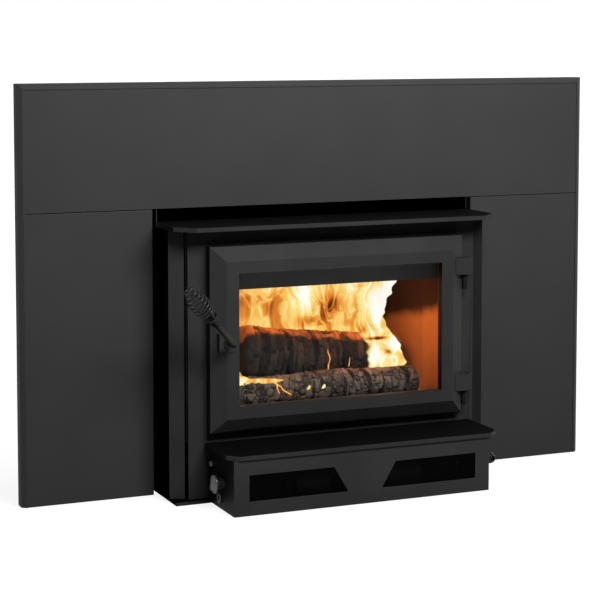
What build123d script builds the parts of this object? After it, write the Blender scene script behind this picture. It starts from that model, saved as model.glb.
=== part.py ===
from build123d import *
import math
import os

# Wood-burning fireplace insert: a brick-lined steel firebox in a convection jacket, with a glazed
# door, a blower box under an ash shelf and a three-panel surround that closes the masonry opening.
# X runs right, Y back and Z up. Y = 0 is the surround's front face, Z = 0 the hearth, X = 0 the
# firebox's middle. Sizes are in millimetres.

# Stock and clearances
sheet = 2.0
trim_sheet = 1.5
wall_plate = 5.0
plate = 6.0
shelf_plate = 8.0
running_gap = 0.05
slip_gap = 0.3
hole_gap = 0.2
weld_gap = 0.02
cut_margin = 1.0

# Surround
surround_width = 1117.6
surround_height = 736.6
opening_clearance = 7.7
seam_height = 512.5
seam_gap = 1.0
panel_flange = 22.0
trim_face = 11.0
trim_lap = 2.7
trim_setback = 5.0
trim_depth = 26.0
bracket_leg = 40.0
bracket_height = 40.0
bracket_low_inset = 120.0
bracket_high_inset = 112.5
bracket_screw_length = 10.0
seam_screw_inner_inset = 62.3
seam_screw_outer_inset = 50.5
small_screw_radius = 2.0
small_screw_head = 4.0
bracket_screw_head = 5.0
screw_head_height = 2.5
seam_nut_width = 7.0
seam_nut_height = 3.2
screw_tail = 1.8

# Convection jacket and base
duct_width = 29.0
rear_duct = 30.0
facet_width = 25.0
facet_depth = 11.0
jacket_setback = 13.0
shelf_gap = 2.0
jacket_lift = 2.0
jacket_top_gap = 1.0
collar_gap = 1.0
base_inset = 2.0
base_reach = 12.0
anchor_inset = 15.0
anchor_front = 20.0
anchor_back_inset = 30.0
anchor_radius = 5.5

# Firebox
front_margin = 34.3
front_y = -80.0
firebox_floor_z = 100.0
firebox_top_z = 476.0
firebox_back_y = 325.0
leg_inset = 66.0
leg_size = 30.0
leg_front_inset = 89.0
leg_back_inset = 25.0
flue_radius = 76.2
flue_stop = 4.0
flue_setback = 135.0
collar_wall = 3.0
collar_height = 68.0
collar_flange = 19.0
collar_flange_thickness = 4.0

# Refractory lining
brick_thickness = 31.75
brick_width = 114.3
brick_length = 228.6
brick_joint = 0.5
ash_gutter = 14.0

# Baffle and air supply inside the firebox
tube_radius = 11.0
tube_wall = 1.6
tube_count = 4
tube_front = 25.0
tube_back_inset = 60.0
tube_hole_radius = 2.5
tube_holes = 11
rail_width = 20.0
rail_height = 30.0
board_thickness = 25.0
board_front = 5.0
blanket_thickness = 25.0
deflector_setback = 26.0
deflector_sheet = 3.0
deflector_height = 108.0
deflector_gap = 6.0
deflector_lip = 15.0

# Shelves
top_shelf_overhang = 2.0
top_shelf_reach = 50.0
top_shelf_clip = (31.0, 37.0)
ash_shelf_lip = 4.0
ash_shelf_left_overhang = 8.5
ash_shelf_right_overhang = 22.5
ash_shelf_clip = (20.0, 21.0)

# Door
door_half = 246.7
door_low = 124.5
door_high = 452.6
door_gap = 2.0
door_edge = 17.0
door_bulge = 16.1
door_bevel = 25.2
door_stile = 48.5
door_low_rail = 46.4
door_high_rail = 46.3
fuel_side_lap = 16.2
fuel_low_lap = 20.5
fuel_high_lap = 20.6
window_lip = 14.1
glass_thickness = 5.0
glass_lap = 8.8
glass_tape = 2.0
retainer_height = 20.0
retainer_sheet = 2.0
retainer_inset = 7.0
retainer_ledge = 13.0
retainer_setback = 1.2
glass_screw_inset = 50.0
glass_screw_length = 8.0
groove_inset = 10.7
groove_width = 10.0
groove_depth = 8.0
groove_corner = 14.0

# Door hinges
hinge_reach = 5.8
hinge_forward = 1.0
hinge_lap = 18.2
hinge_wrap = 10.0
hinge_nose = 12.0
hinge_block_height = 31.0
hinge_inset = 56.55
knuckle_radius = 5.5
knuckle_height = 27.0
hinge_pin_radius = 4.0

# Door handle and latch
handle_inset = 26.7
handle_drop = 2.55
handle_standoff = 32.9
handle_direction = (-0.653, -0.292, 0.699)
handle_bend = 9.0
handle_radius = 5.0
handle_bar_length = 56.0
handle_cone_length = 24.0
handle_cone_radius = 12.0
handle_coil_length = 74.0
handle_wire = 3.5
handle_turns = 8
handle_coil_radii = (9.8, 15.8, 6.6)
pad_size = 32.0
pad_proud = 2.0
stop_collar_radius = 8.0
stop_collar_length = 3.0
latch_hub_radius = 7.0
latch_reach = 22.0
latch_width = 8.0
latch_thickness = 6.0
latch_nut_width = 14.0
latch_nut_height = 5.0
latch_thread_tail = 1.5
catch_width = 16.0
catch_height = 32.0

# Blower box
blower_inset = 34.5
blower_centre = 4.0
blower_depth = 122.0
blower_height = 97.0
grille_inset = 28.5
grille_inner_top = 59.5
grille_inner_low = 33.0
grille_low = 25.0
grille_high = 70.0
net_margin = 6.0
net_sheet = 0.8
net_wire = 1.6
net_columns = 25
net_rows = 6
tab_depth = 24.0
tab_margin = 15.0
inlet_inset = 42.5
inlet_low = 15.0
inlet_top_inset = 7.5
box_screw_radius = 2.5
box_screw_head = 5.0
box_screw_length = 8.0
box_screw_inset = 27.0

# Blower
fan_setback = 62.0
motor_radius = 32.0
motor_half = 36.0
motor_foot = 24.0
shaft_radius = 4.0
shaft_tail = 4.0
scroll_radius = 41.0
scroll_half = 32.0
scroll_gap = 20.0
scroll_inlet_radius = 26.0
scroll_standoff = 6.0
scroll_foot = (10.0, 12.0)
wheel_gap = 5.0
wheel_side_gap = 3.0
wheel_depth = 8.0
wheel_hub_radius = 9.0
wheel_blades = 16
blade_thickness = 1.6
blade_inset = 1.0

# Speed control on the box's left side
knob_setback = 53.0
knob_z = 48.0
knob_disc_radius = 16.0
knob_disc_thickness = 3.0
knob_hub_radius = 10.0
knob_hub_length = 11.0
knob_stem_radius = 3.0
knob_stem_length = 16.0
control_radius = 15.0
control_depth = 18.0
bush_radius = 5.5
bush_nut_radius = 8.0
bush_nut_height = 3.0
gland_setback = 68.0
gland_z = 19.0
gland_radius = 6.5
gland_flange = 2.5
gland_reach = 3.0
gland_bore = 3.6

# Combustion air control
air_rod_radius = 4.0
air_rod_inset = 10.0
air_rod_drop = 7.7
air_grip_reach = 106.0
air_coil_length = 28.0
air_wire = 2.6
air_turns = 6
air_coil_radii = (6.2, 9.2, 4.6)
air_cone_radius = 8.0
air_cone_length = 9.0
air_travel = 40.0
air_box_width = 30.0
air_box_height = 38.0
air_box_length = 133.7
air_hole_margin = 2.0
air_slot_width = 16.0
air_slot_setback = 52.0
damper_front_lap = 6.0
damper_back_lap = 2.0
damper_tab = 8.0
rail_grip = 3.0
thermal_inset = 31.0
thermal_setback = 54.0
thermal_radius = 9.0
thermal_height = 8.0

# Fuel: each log is (x, y, height of its middle above the bricks, half depth, half height) at its
# two ends, and a lower log lies on the bricks
lower_front_log = ((-185.0, 25.6, 29.0, 36.0, 29.0), (206.0, 20.0, 28.5, 34.0, 28.5))
lower_rear_log = ((-170.0, 114.8, 30.0, 33.0, 30.0), (180.0, 212.0, 28.0, 31.0, 28.0))
top_log = ((-116.0, 78.0, 86.45, 49.0, 49.0), (206.0, 122.0, 43.15, 45.0, 45.0))
log_sides = 11
log_stations = 7
log_unevenness = 0.03

# Sizes that follow from the ones above
half_width = surround_width / 2
front_half = door_half + front_margin
blower_half = front_half - blower_inset
panel_inset = trim_face - trim_lap
panel_half = half_width - panel_inset
side_panel_top = seam_height - seam_gap / 2
top_panel_low = seam_height + seam_gap / 2
duct_top = top_panel_low + jacket_lift
front_back_y = front_y + plate
jacket_half = front_half + duct_width
jacket_front_y = front_back_y + jacket_setback
jacket_back_y = firebox_back_y + wall_plate + rear_duct
opening_half = jacket_half + opening_clearance
anchor_x = jacket_half - anchor_inset
anchor_places = (anchor_front, jacket_back_y - anchor_back_inset)
bracket_levels = (bracket_low_inset, seam_height - bracket_high_inset)
bracket_screw_y = sheet + bracket_leg / 2
seam_screw_places = (opening_half + seam_screw_inner_inset, panel_half - seam_screw_outer_inset)
floor_top = firebox_floor_z + plate
shelf_low = firebox_top_z + plate
jacket_side_top = shelf_low - shelf_gap
wall_inner = front_half - wall_plate
brick_face = wall_inner - brick_thickness
brick_start = front_back_y + ash_gutter
lining_low = floor_top + brick_thickness + slip_gap
lining_high = lining_low + brick_length
back_brick_y = firebox_back_y - brick_thickness
leg_x = front_half - leg_inset
leg_places = (front_back_y + leg_front_inset, firebox_back_y - leg_back_inset)
flue_y = firebox_back_y - flue_setback
rail_low = lining_high + slip_gap
tube_z = rail_low + rail_height / 2
tube_pitch = (firebox_back_y - tube_back_inset - tube_front) / (tube_count - 1)
tube_places = [tube_front + i * tube_pitch for i in range(tube_count)]
board_low = tube_z + tube_radius
blanket_low = board_low + board_thickness + slip_gap
deflector_y = front_back_y + deflector_setback
deflector_low = firebox_top_z - deflector_height
deflector_half = wall_inner - deflector_gap
door_back_y = front_y - door_gap
door_edge_y = door_back_y - door_edge
door_face_y = door_edge_y - door_bulge
door_middle_z = (door_low + door_high) / 2
crease_half = door_half - door_bevel
window_half = door_half - door_stile
window_low = door_low + door_low_rail
window_high = door_high - door_high_rail
fuel_half = door_half - fuel_side_lap
fuel_low = door_low + fuel_low_lap
fuel_high = door_high - fuel_high_lap
lip_back_y = door_face_y + window_lip
glass_front_y = lip_back_y + glass_tape
glass_back_y = glass_front_y + glass_thickness
glass_half = window_half + glass_lap
glass_low = window_low - glass_lap
glass_high = window_high + glass_lap
retainer_y = glass_back_y + slip_gap
retainer_half = glass_half - retainer_inset
glass_screw_places = (glass_screw_inset - retainer_half, 0.0, retainer_half - glass_screw_inset)
hinge_x = door_half + hinge_reach
hinge_y = door_edge_y - hinge_forward
hinge_offset = (door_high - door_low) / 2 - hinge_inset
handle_x = handle_inset - door_half
handle_z = door_middle_z - handle_drop
handle_bend_y = door_face_y - handle_standoff
latch_y = front_back_y + plate + slip_gap
latch_end_y = latch_y + latch_thickness
box_left = blower_centre - blower_half
box_right = blower_centre + blower_half
box_back = front_y - slip_gap
blower_front = front_y - blower_depth
grille_outer = blower_half - grille_inset
inlet_half = blower_half - inlet_inset
box_screw_levels = (box_screw_inset, blower_height - box_screw_inset)
box_screw_y = front_y - tab_depth / 2
fan_y = blower_front + fan_setback
fan_z = sheet + scroll_radius + slip_gap
scroll_offset = motor_half + scroll_gap + scroll_half
scroll_outlet_y = front_y - scroll_standoff
wheel_radius = scroll_radius - sheet - wheel_gap
wheel_half = scroll_half - sheet - wheel_side_gap
knob_y = blower_front + knob_setback
gland_y = blower_front + gland_setback
air_box_right = wall_inner
air_box_left = air_box_right - air_box_width
air_box_front = front_back_y + slip_gap
air_box_back = air_box_front + air_box_length
air_box_low = firebox_floor_z - air_box_height
air_x = air_box_right - air_rod_inset
air_slot_front = front_back_y + air_slot_setback
air_coil_front = front_y - air_grip_reach
damper_high = air_box_low - slip_gap
damper_low = damper_high - sheet
damper_front = air_slot_front - damper_front_lap
damper_length = damper_front_lap + air_travel + damper_back_lap
air_z = damper_low - air_rod_drop
top_shelf_half = jacket_half + top_shelf_overhang
top_shelf_front = front_y - top_shelf_reach
base_front = front_y - base_reach
ash_shelf_front = blower_front - ash_shelf_lip
ash_shelf_left = box_left - ash_shelf_left_overhang
ash_shelf_right = box_right + ash_shelf_right_overhang
thermal_x = thermal_inset - front_half
thermal_y = front_back_y + thermal_setback
LEFT_AND_RIGHT = (-1, 1)


# ---- Shapes that several pieces share ----------------------------------------------------------

def block(x, y, z):
    """A block that spans a (low, high) pair on each axis."""
    spans = (x, y, z)
    middle = [(low + high) / 2 for low, high in spans]
    return Pos(*middle) * Box(*[high - low for low, high in spans])


def bar(radius, start, end):
    """A round bar between two points."""
    along = Vector(*end) - Vector(*start)
    return extrude(Plane(origin=start, z_dir=along) * Circle(radius), along.length)


def cone_bar(start_radius, end_radius, start, end):
    """A round bar that changes evenly from one radius to another."""
    along = Vector(*end) - Vector(*start)
    first = Plane(origin=start, z_dir=along) * Circle(start_radius)
    last = Plane(origin=end, z_dir=along) * Circle(end_radius)
    return loft([first, last])


def hexagon_bar(across, start, end):
    """A hexagonal bar, as on a nut, between two points."""
    along = Vector(*end) - Vector(*start)
    section = Plane(origin=start, z_dir=along) * RegularPolygon(across / 2, 6, major_radius=False)
    return extrude(section, along.length)


def prism_up(points, low, high):
    """A plan outline of (x, y) points raised from one level to another."""
    face = make_face(Polyline([(x, y, low) for x, y in points], close=True))
    return extrude(face, high - low, dir=(0, 0, 1))


def prism_back(points, front, back):
    """A front outline of (x, z) points run from one depth to another."""
    face = make_face(Polyline([(x, front, z) for x, z in points], close=True))
    return extrude(face, back - front, dir=(0, 1, 0))


def prism_across(points, left, right):
    """A side outline of (y, z) points run from left to right."""
    face = make_face(Polyline([(left, y, z) for y, z in points], close=True))
    return extrude(face, right - left, dir=(1, 0, 0))


def front_frame(half, low, high, y):
    """A rectangular face in a front plane."""
    corners = [(-half, y, low), (half, y, low), (half, y, high), (-half, y, high)]
    return make_face(Polyline(corners, close=True))


def folded_sheet(points, low, high):
    """A sheet bent along (x, y) points, its thickness to the right of the path."""
    outline = offset(Polyline(*points), sheet, side=Side.RIGHT, kind=Kind.INTERSECTION)
    return extrude(make_face(outline), high - low, dir=(0, 0, 1)).moved(Location((0, 0, low)))


def rounded_ring(half, low, high, width, front, back):
    """A rectangular ring of one width with rounded corners, run from front to back."""
    middle = Plane(origin=(0, front, (low + high) / 2), x_dir=(1, 0, 0), z_dir=(0, 1, 0))
    outer = RectangleRounded(2 * half + width, high - low + width, groove_corner + width / 2)
    inner = RectangleRounded(2 * half - width, high - low - width, groove_corner - width / 2)
    return extrude(middle * (outer - inner), back - front, dir=(0, 1, 0))


def mirrored(shape):
    """The same piece on the other side of the middle."""
    return mirror(shape, about=Plane.YZ)


def group(shapes):
    """Separate solids that share one node."""
    return Compound([solid for shape in shapes for solid in shape.solids()])


# ---- Spring grips ------------------------------------------------------------------------------

def biarc(start, start_direction, end, end_direction):
    """Two arcs that join two points smoothly in the given directions."""
    chord = end - start
    turn = start_direction + end_direction
    a = turn.dot(turn) - 4
    b = -2 * chord.dot(turn)
    c = chord.dot(chord)
    reach = (-b - math.sqrt(b * b - 4 * a * c)) / (2 * a)
    if reach < 0:
        reach = (-b + math.sqrt(b * b - 4 * a * c)) / (2 * a)
    near = start + start_direction * reach
    far = end - end_direction * reach
    joint = (near + far) * 0.5
    return [Edge.make_tangent_arc(start, start_direction, joint),
            Edge.make_tangent_arc(joint, (far - near).normalized(), end)]


def least_gap(edges, wire):
    """The smallest gap between turns of a wire, measured on points of its centre line."""
    step = wire / 4
    points = []
    for edge in edges:
        count = max(2, math.ceil(edge.length / step))
        points += [edge.position_at(i / count) for i in range(count)]
    travelled = [0.0]
    for before, after in zip(points, points[1:]):
        travelled.append(travelled[-1] + (after - before).length)
    far_apart = 4 * wire
    nearest = min((points[i] - points[j]).length
                  for i in range(len(points)) for j in range(i)
                  if travelled[i] - travelled[j] > far_apart)
    return nearest - wire


def spring_grip(foot, axis, side, wire, turns, length, radii):
    """A barrel-shaped spring that stands on a round face, as one unbroken wire."""
    axis = Vector(*axis).normalized()
    across = Vector(*side).cross(axis).normalized()
    other = axis.cross(across)
    foot_radius, middle_radius, tip_radius = radii
    climb = length - 2 * wire
    steps = 4 * turns

    def turn_point(step):
        share = step / steps
        angle = step * math.pi / 2
        swell = middle_radius - (foot_radius + tip_radius) / 2
        radius = foot_radius + (tip_radius - foot_radius) * share + swell * math.sin(math.pi * share)
        outward = across * math.cos(angle) + other * math.sin(angle)
        return Vector(*foot) + axis * (2 * wire + climb * share) + outward * radius

    def turn_direction(step):
        small = 0.01
        return (turn_point(step + small) - turn_point(step - small)).normalized()

    start = Vector(*foot) + across * foot_radius
    straight_end = start + axis * wire
    edges = [Edge.make_line(start, straight_end)]
    edges += biarc(straight_end, axis, turn_point(1), turn_direction(1))
    for step in range(1, steps):
        edges += biarc(turn_point(step), turn_direction(step), turn_point(step + 1), turn_direction(step + 1))
    last = turn_point(steps)
    edges.append(Edge.make_line(last, last + turn_direction(steps) * wire))
    radii_used = [edge.radius for edge in edges if edge.geom_type == GeomType.CIRCLE]
    print(f"spring of {turns} turns: least gap {least_gap(edges, wire):.2f} mm, "
          f"tightest bend {min(radii_used):.2f} mm, wire {wire} mm")
    section = Plane(origin=start, z_dir=axis) * Circle(wire / 2)
    return sweep(section, path=Wire(edges))


# ---- Surround ----------------------------------------------------------------------------------

def surround_trims():
    """Bevelled edge trims on the left, the top and the right, mitred at the top corners."""
    bevel = trim_face - trim_lap
    section = [(0, trim_setback), (bevel, -trim_sheet), (trim_face, -trim_sheet), (trim_face, 0),
               (bevel - slip_gap, 0), (trim_sheet, trim_setback + slip_gap),
               (trim_sheet, trim_depth), (0, trim_depth)]
    left = prism_up([(u - half_width, y) for u, y in section], 0, surround_height)
    top = prism_across([(y, surround_height - u) for u, y in section], -half_width, half_width)
    cut = trim_face + cut_margin
    above = [(-half_width, surround_height), (cut - half_width, surround_height),
             (cut - half_width, surround_height - cut)]
    beside = [(-half_width, surround_height), (-half_width, surround_height - cut),
              (cut - half_width, surround_height - cut)]
    front, back = -trim_sheet - cut_margin, trim_depth + cut_margin
    corner = prism_back(beside, front, back)
    left -= prism_back(above, front, back)
    top = top - corner - mirrored(corner)
    return {"surround_trim_left": left, "surround_trim_top": top, "surround_trim_right": mirrored(left)}


def seam_screw(x):
    """A screw and nut that clamp the flanges of two panels at the seam."""
    y = sheet + panel_flange / 2
    above = top_panel_low + sheet
    below = side_panel_top - sheet
    nut_low = below - seam_nut_height
    shank = bar(small_screw_radius, (x, y, nut_low - screw_tail), (x, y, above))
    head = bar(small_screw_head, (x, y, above), (x, y, above + screw_head_height))
    nut = hexagon_bar(seam_nut_width, (x, y, nut_low), (x, y, below))
    return shank + head + nut


def bracket_screw(side, level):
    """A screw that holds a surround bracket to the jacket's side."""
    y = bracket_screw_y
    outer = side * (jacket_half + sheet)
    head = bar(bracket_screw_head, (outer, y, level), (outer + side * screw_head_height, y, level))
    return head + bar(small_screw_radius, (outer, y, level), (outer - side * bracket_screw_length, y, level))


def surround_panels():
    """The three faceplate panels, their brackets and screws."""
    top_front = block((-panel_half, panel_half), (0, sheet), (top_panel_low, surround_height - panel_inset))
    flange_y = (sheet, sheet + panel_flange)
    hole_y = sheet + panel_flange / 2
    side_parts = []
    screws = []
    for side in LEFT_AND_RIGHT:
        near, far = sorted((side * opening_half, side * panel_half))
        top_front += block((near, far), flange_y, (top_panel_low, top_panel_low + sheet))
        panel = block((near, far), (0, sheet), (0, side_panel_top))
        panel += block((near, far), flange_y, (side_panel_top - sheet, side_panel_top))
        return_x = sorted((side * opening_half, side * (opening_half + sheet)))
        panel += block(return_x, flange_y, (0, side_panel_top - sheet))
        for level in bracket_levels:
            notch = bracket_height / 2 + slip_gap
            panel -= block((return_x[0] - cut_margin, return_x[1] + cut_margin),
                           (sheet, sheet + panel_flange + cut_margin), (level - notch, level + notch))
        for place in seam_screw_places:
            x = side * place
            hole = bar(small_screw_radius + hole_gap, (x, hole_y, side_panel_top - panel_flange),
                       (x, hole_y, top_panel_low + panel_flange))
            top_front -= hole
            panel -= hole
            screws.append(seam_screw(x))
        side_parts.append(panel)
        screws += [bracket_screw(side, level) for level in bracket_levels]
    return {"surround_top_panel": top_front, "surround_left_panel": side_parts[0],
            "surround_right_panel": side_parts[1], "surround_screws": group(screws),
            "surround_brackets": group(surround_brackets())}


def surround_brackets():
    """Angles that tie the side panels to the jacket."""
    angles = []
    for side in LEFT_AND_RIGHT:
        inner, outer = side * jacket_half, side * (jacket_half + sheet)
        far = side * (jacket_half + bracket_leg)
        for level in bracket_levels:
            z = (level - bracket_height / 2, level + bracket_height / 2)
            angle = block(sorted((inner, far)), (sheet, 2 * sheet), z)
            angle += block(sorted((inner, outer)), (sheet, sheet + bracket_leg), z)
            angles.append(angle - bar(small_screw_radius + hole_gap, (inner - side, bracket_screw_y, level),
                                      (outer + side, bracket_screw_y, level)))
    return angles


# ---- Base and convection jacket ----------------------------------------------------------------

def jacket_side(side):
    """One side of the jacket, with its front edge folded inwards."""
    path = [(jacket_half - facet_width, jacket_front_y - facet_depth), (jacket_half, jacket_front_y),
            (jacket_half, jacket_back_y)]
    skin = mirrored(folded_sheet([(-x, y) for x, y in path], plate, duct_top)) if side > 0 else \
        folded_sheet([(-x, y) for x, y in path], plate, duct_top)
    reach = jacket_half + cut_margin
    skin -= block((-reach, reach), (jacket_front_y - facet_depth - cut_margin, sheet + jacket_top_gap),
                  (jacket_side_top, duct_top + cut_margin))
    for level in bracket_levels:
        skin -= bar(small_screw_radius + hole_gap, (side * (jacket_half - 2 * sheet), bracket_screw_y, level),
                    (side * reach, bracket_screw_y, level))
    return skin


def jacket():
    """The base plate, the jacket's sides, back and top."""
    base_half = jacket_half - base_inset
    base = block((-base_half, base_half), (base_front, jacket_back_y), (0, plate))
    through_z = (-cut_margin, plate + cut_margin)
    base -= block((box_left - slip_gap, box_right + slip_gap), (base_front - cut_margin, box_back), through_z)
    for side in LEFT_AND_RIGHT:
        for y in anchor_places:
            base -= bar(anchor_radius, (side * anchor_x, y, through_z[0]), (side * anchor_x, y, through_z[1]))
    inner = jacket_half - sheet
    back = block((-inner, inner), (jacket_back_y - sheet, jacket_back_y), (plate, duct_top))
    top_y = (sheet + jacket_top_gap, jacket_back_y)
    top = block((-jacket_half, jacket_half), top_y, (duct_top, duct_top + sheet))
    top -= bar(flue_radius + collar_wall + collar_gap, (0, flue_y, duct_top - cut_margin),
               (0, flue_y, duct_top + sheet + cut_margin))
    return {"base_plate": base, "jacket_left": jacket_side(-1), "jacket_right": jacket_side(1),
            "jacket_back": back, "jacket_top": top}


# ---- Firebox -----------------------------------------------------------------------------------

def front_plate():
    """The firebox's front with its fuel opening, blower inlet, air rod hole and blower box tabs."""
    face = block((-front_half, front_half), (front_y, front_back_y), (plate, shelf_low))
    through = (front_y - cut_margin, front_back_y + cut_margin)
    face -= block((-fuel_half, fuel_half), through, (fuel_low, fuel_high))
    inlet_x = (blower_centre - inlet_half, blower_centre + inlet_half)
    face -= block(inlet_x, through, (inlet_low, blower_height - inlet_top_inset))
    face -= bar(air_rod_radius + running_gap, (air_x, through[0], air_z), (air_x, through[1], air_z))
    for side in LEFT_AND_RIGHT:
        outer = blower_centre + side * (blower_half - sheet)
        tab_x = sorted((outer, outer - side * sheet))
        tab = block(tab_x, (front_y - tab_depth, front_y), (tab_margin, blower_height - tab_margin))
        for level in box_screw_levels:
            tab -= bar(box_screw_radius + weld_gap, (tab_x[0] - cut_margin, box_screw_y, level),
                       (tab_x[1] + cut_margin, box_screw_y, level))
        face += tab
    return face


def leg(x, y):
    """An angle leg between the base plate and the firebox floor."""
    half = leg_size / 2
    outer = block((x - half, x + half), (y - half, y + half), (plate, firebox_floor_z))
    return outer - block((x - half + wall_plate, x + half + cut_margin),
                         (y - half + wall_plate, y + half + cut_margin),
                         (plate - cut_margin, firebox_floor_z + cut_margin))


def flue_collar():
    """A round collar with a flange that stands on the firebox top."""
    top = shelf_low + collar_height
    flange_top = shelf_low + collar_flange_thickness
    body = bar(flue_radius + collar_wall, (0, flue_y, shelf_low), (0, flue_y, top))
    body += bar(flue_radius + collar_flange, (0, flue_y, shelf_low), (0, flue_y, flange_top))
    return body - bar(flue_radius, (0, flue_y, shelf_low - cut_margin), (0, flue_y, top + cut_margin))


def firebox():
    """The welded plates of the fire chamber, its legs and the flue collar."""
    inside_y = (front_back_y, firebox_back_y)
    outside_y = (front_back_y, firebox_back_y + wall_plate)
    floor = block((-front_half, front_half), outside_y, (firebox_floor_z, floor_top))
    hole_inset = sheet + air_hole_margin
    floor -= block((air_box_left + hole_inset, air_box_right - hole_inset),
                   (front_back_y + hole_inset, brick_start - air_hole_margin),
                   (firebox_floor_z - cut_margin, floor_top + cut_margin))
    roof = block((-front_half, front_half), outside_y, (firebox_top_z, shelf_low))
    roof -= bar(flue_radius - flue_stop, (0, flue_y, firebox_top_z - cut_margin),
                (0, flue_y, shelf_low + cut_margin))
    wall_z = (floor_top, firebox_top_z)
    back = block((-front_half, front_half), (firebox_back_y, firebox_back_y + wall_plate), wall_z)
    walls = [block(sorted((side * wall_inner, side * front_half)), inside_y, wall_z)
             for side in LEFT_AND_RIGHT]
    legs = [leg(side * leg_x, y) for side in LEFT_AND_RIGHT for y in leg_places]
    return {"firebox_floor": floor, "firebox_top": roof, "firebox_back_wall": back,
            "firebox_side_walls": group(walls), "firebox_legs": group(legs), "front_plate": front_plate(),
            "flue_collar": flue_collar()}


def row_of_bricks(start, end, nominal):
    """The (low, high) spans of bricks cut evenly to fill a length."""
    count = max(1, round((end - start) / nominal))
    pitch = (end - start) / count
    half_joint = brick_joint / 2
    return [(start + i * pitch + half_joint, start + (i + 1) * pitch - half_joint) for i in range(count)]


def lining():
    """The firebricks on the floor, the sides and the back."""
    floor_z = (floor_top, floor_top + brick_thickness)
    wall_z = (lining_low, lining_high)
    side_y = (brick_start, back_brick_y - slip_gap)
    floor = [block(x, y, floor_z)
             for x in row_of_bricks(-wall_inner, wall_inner, brick_width)
             for y in row_of_bricks(brick_start, firebox_back_y, brick_length)]
    sides = [block(sorted((side * (wall_inner - slip_gap), side * brick_face)), y, wall_z)
             for side in LEFT_AND_RIGHT for y in row_of_bricks(*side_y, brick_width)]
    back = [block(x, (back_brick_y, firebox_back_y - slip_gap), wall_z)
            for x in row_of_bricks(-wall_inner, wall_inner, brick_width)]
    return {"floor_bricks": group(floor), "side_bricks": group(sides), "back_bricks": group(back)}


def air_tube(y):
    """A secondary air tube with a row of holes along its front."""
    reach = wall_inner - rail_width / 2
    tube = bar(tube_radius, (-reach, y, tube_z), (reach, y, tube_z))
    tube -= bar(tube_radius - tube_wall, (-reach - cut_margin, y, tube_z), (reach + cut_margin, y, tube_z))
    pitch = 2 * brick_face / (tube_holes + 1)
    front = y - tube_radius
    for i in range(tube_holes):
        x = -brick_face + (i + 1) * pitch
        tube -= bar(tube_hole_radius, (x, front - cut_margin, tube_z), (x, front + 2 * tube_wall, tube_z))
    return tube


def air_tube_rail(side):
    """The box section on a side wall that feeds the secondary air tubes."""
    inner, outer = side * (wall_inner - rail_width), side * wall_inner
    y = (deflector_y + deflector_sheet + slip_gap, back_brick_y)
    z = (rail_low, rail_low + rail_height)
    rail = block(sorted((inner, outer)), y, z)
    hollow_x = sorted((inner + side * sheet, outer - side * sheet))
    rail -= block(hollow_x, (y[0] + sheet, y[1] - sheet), (z[0] + sheet, z[1] - sheet))
    through = inner + side * (sheet + cut_margin)
    for place in tube_places:
        rail -= bar(tube_radius + hole_gap, (inner - side, place, tube_z), (through, place, tube_z))
    return rail


def baffle():
    """The baffle boards and blanket on their air tubes, and the air-wash deflector."""
    board_half = wall_inner - rail_width - slip_gap
    boards_y = (board_front, firebox_back_y - slip_gap)
    boards = [block(sorted((side * slip_gap / 2, side * board_half)), boards_y,
                    (board_low, board_low + board_thickness)) for side in LEFT_AND_RIGHT]
    blanket = block((-board_half, board_half), (board_front + slip_gap, boards_y[1]),
                    (blanket_low, blanket_low + blanket_thickness))
    back = deflector_y + deflector_sheet
    deflector = block((-deflector_half, deflector_half), (deflector_y, back), (deflector_low, firebox_top_z))
    deflector += block((-deflector_half, deflector_half), (front_back_y, deflector_y),
                       (firebox_top_z - deflector_lip, firebox_top_z - deflector_lip + deflector_sheet))
    return {"air_tubes": group([air_tube(y) for y in tube_places]),
            "air_tube_rails": group([air_tube_rail(side) for side in LEFT_AND_RIGHT]),
            "baffle_boards": group(boards), "baffle_blanket": blanket, "air_wash_deflector": deflector}


# ---- Shelves -----------------------------------------------------------------------------------

def clipped_plate(left, right, front, back, clip, low):
    """A shelf plate with its two front corners clipped."""
    dx, dy = clip
    outline = [(left, back), (left, front + dy), (left + dx, front), (right - dx, front), (right, front + dy),
               (right, back)]
    return prism_up(outline, low, low + shelf_plate)


def shelves():
    """The hot top shelf and the ash shelf on the blower box."""
    top = clipped_plate(-top_shelf_half, top_shelf_half, top_shelf_front, sheet, top_shelf_clip,
                        shelf_low)
    ash = clipped_plate(ash_shelf_left, ash_shelf_right, ash_shelf_front, box_back, ash_shelf_clip,
                        blower_height)
    return {"top_shelf": top, "ash_shelf": ash}


# ---- Door --------------------------------------------------------------------------------------

def door_outline():
    """The door's outer shape: a flat-edged slab with a wide bevel round its face."""
    slab = block((-door_half, door_half), (door_edge_y, door_back_y), (door_low, door_high))
    edge = front_frame(door_half, door_low, door_high, door_edge_y)
    face = front_frame(crease_half, door_low + door_bevel, door_high - door_bevel, door_face_y)
    return slab + loft([edge, face], ruled=True)


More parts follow.
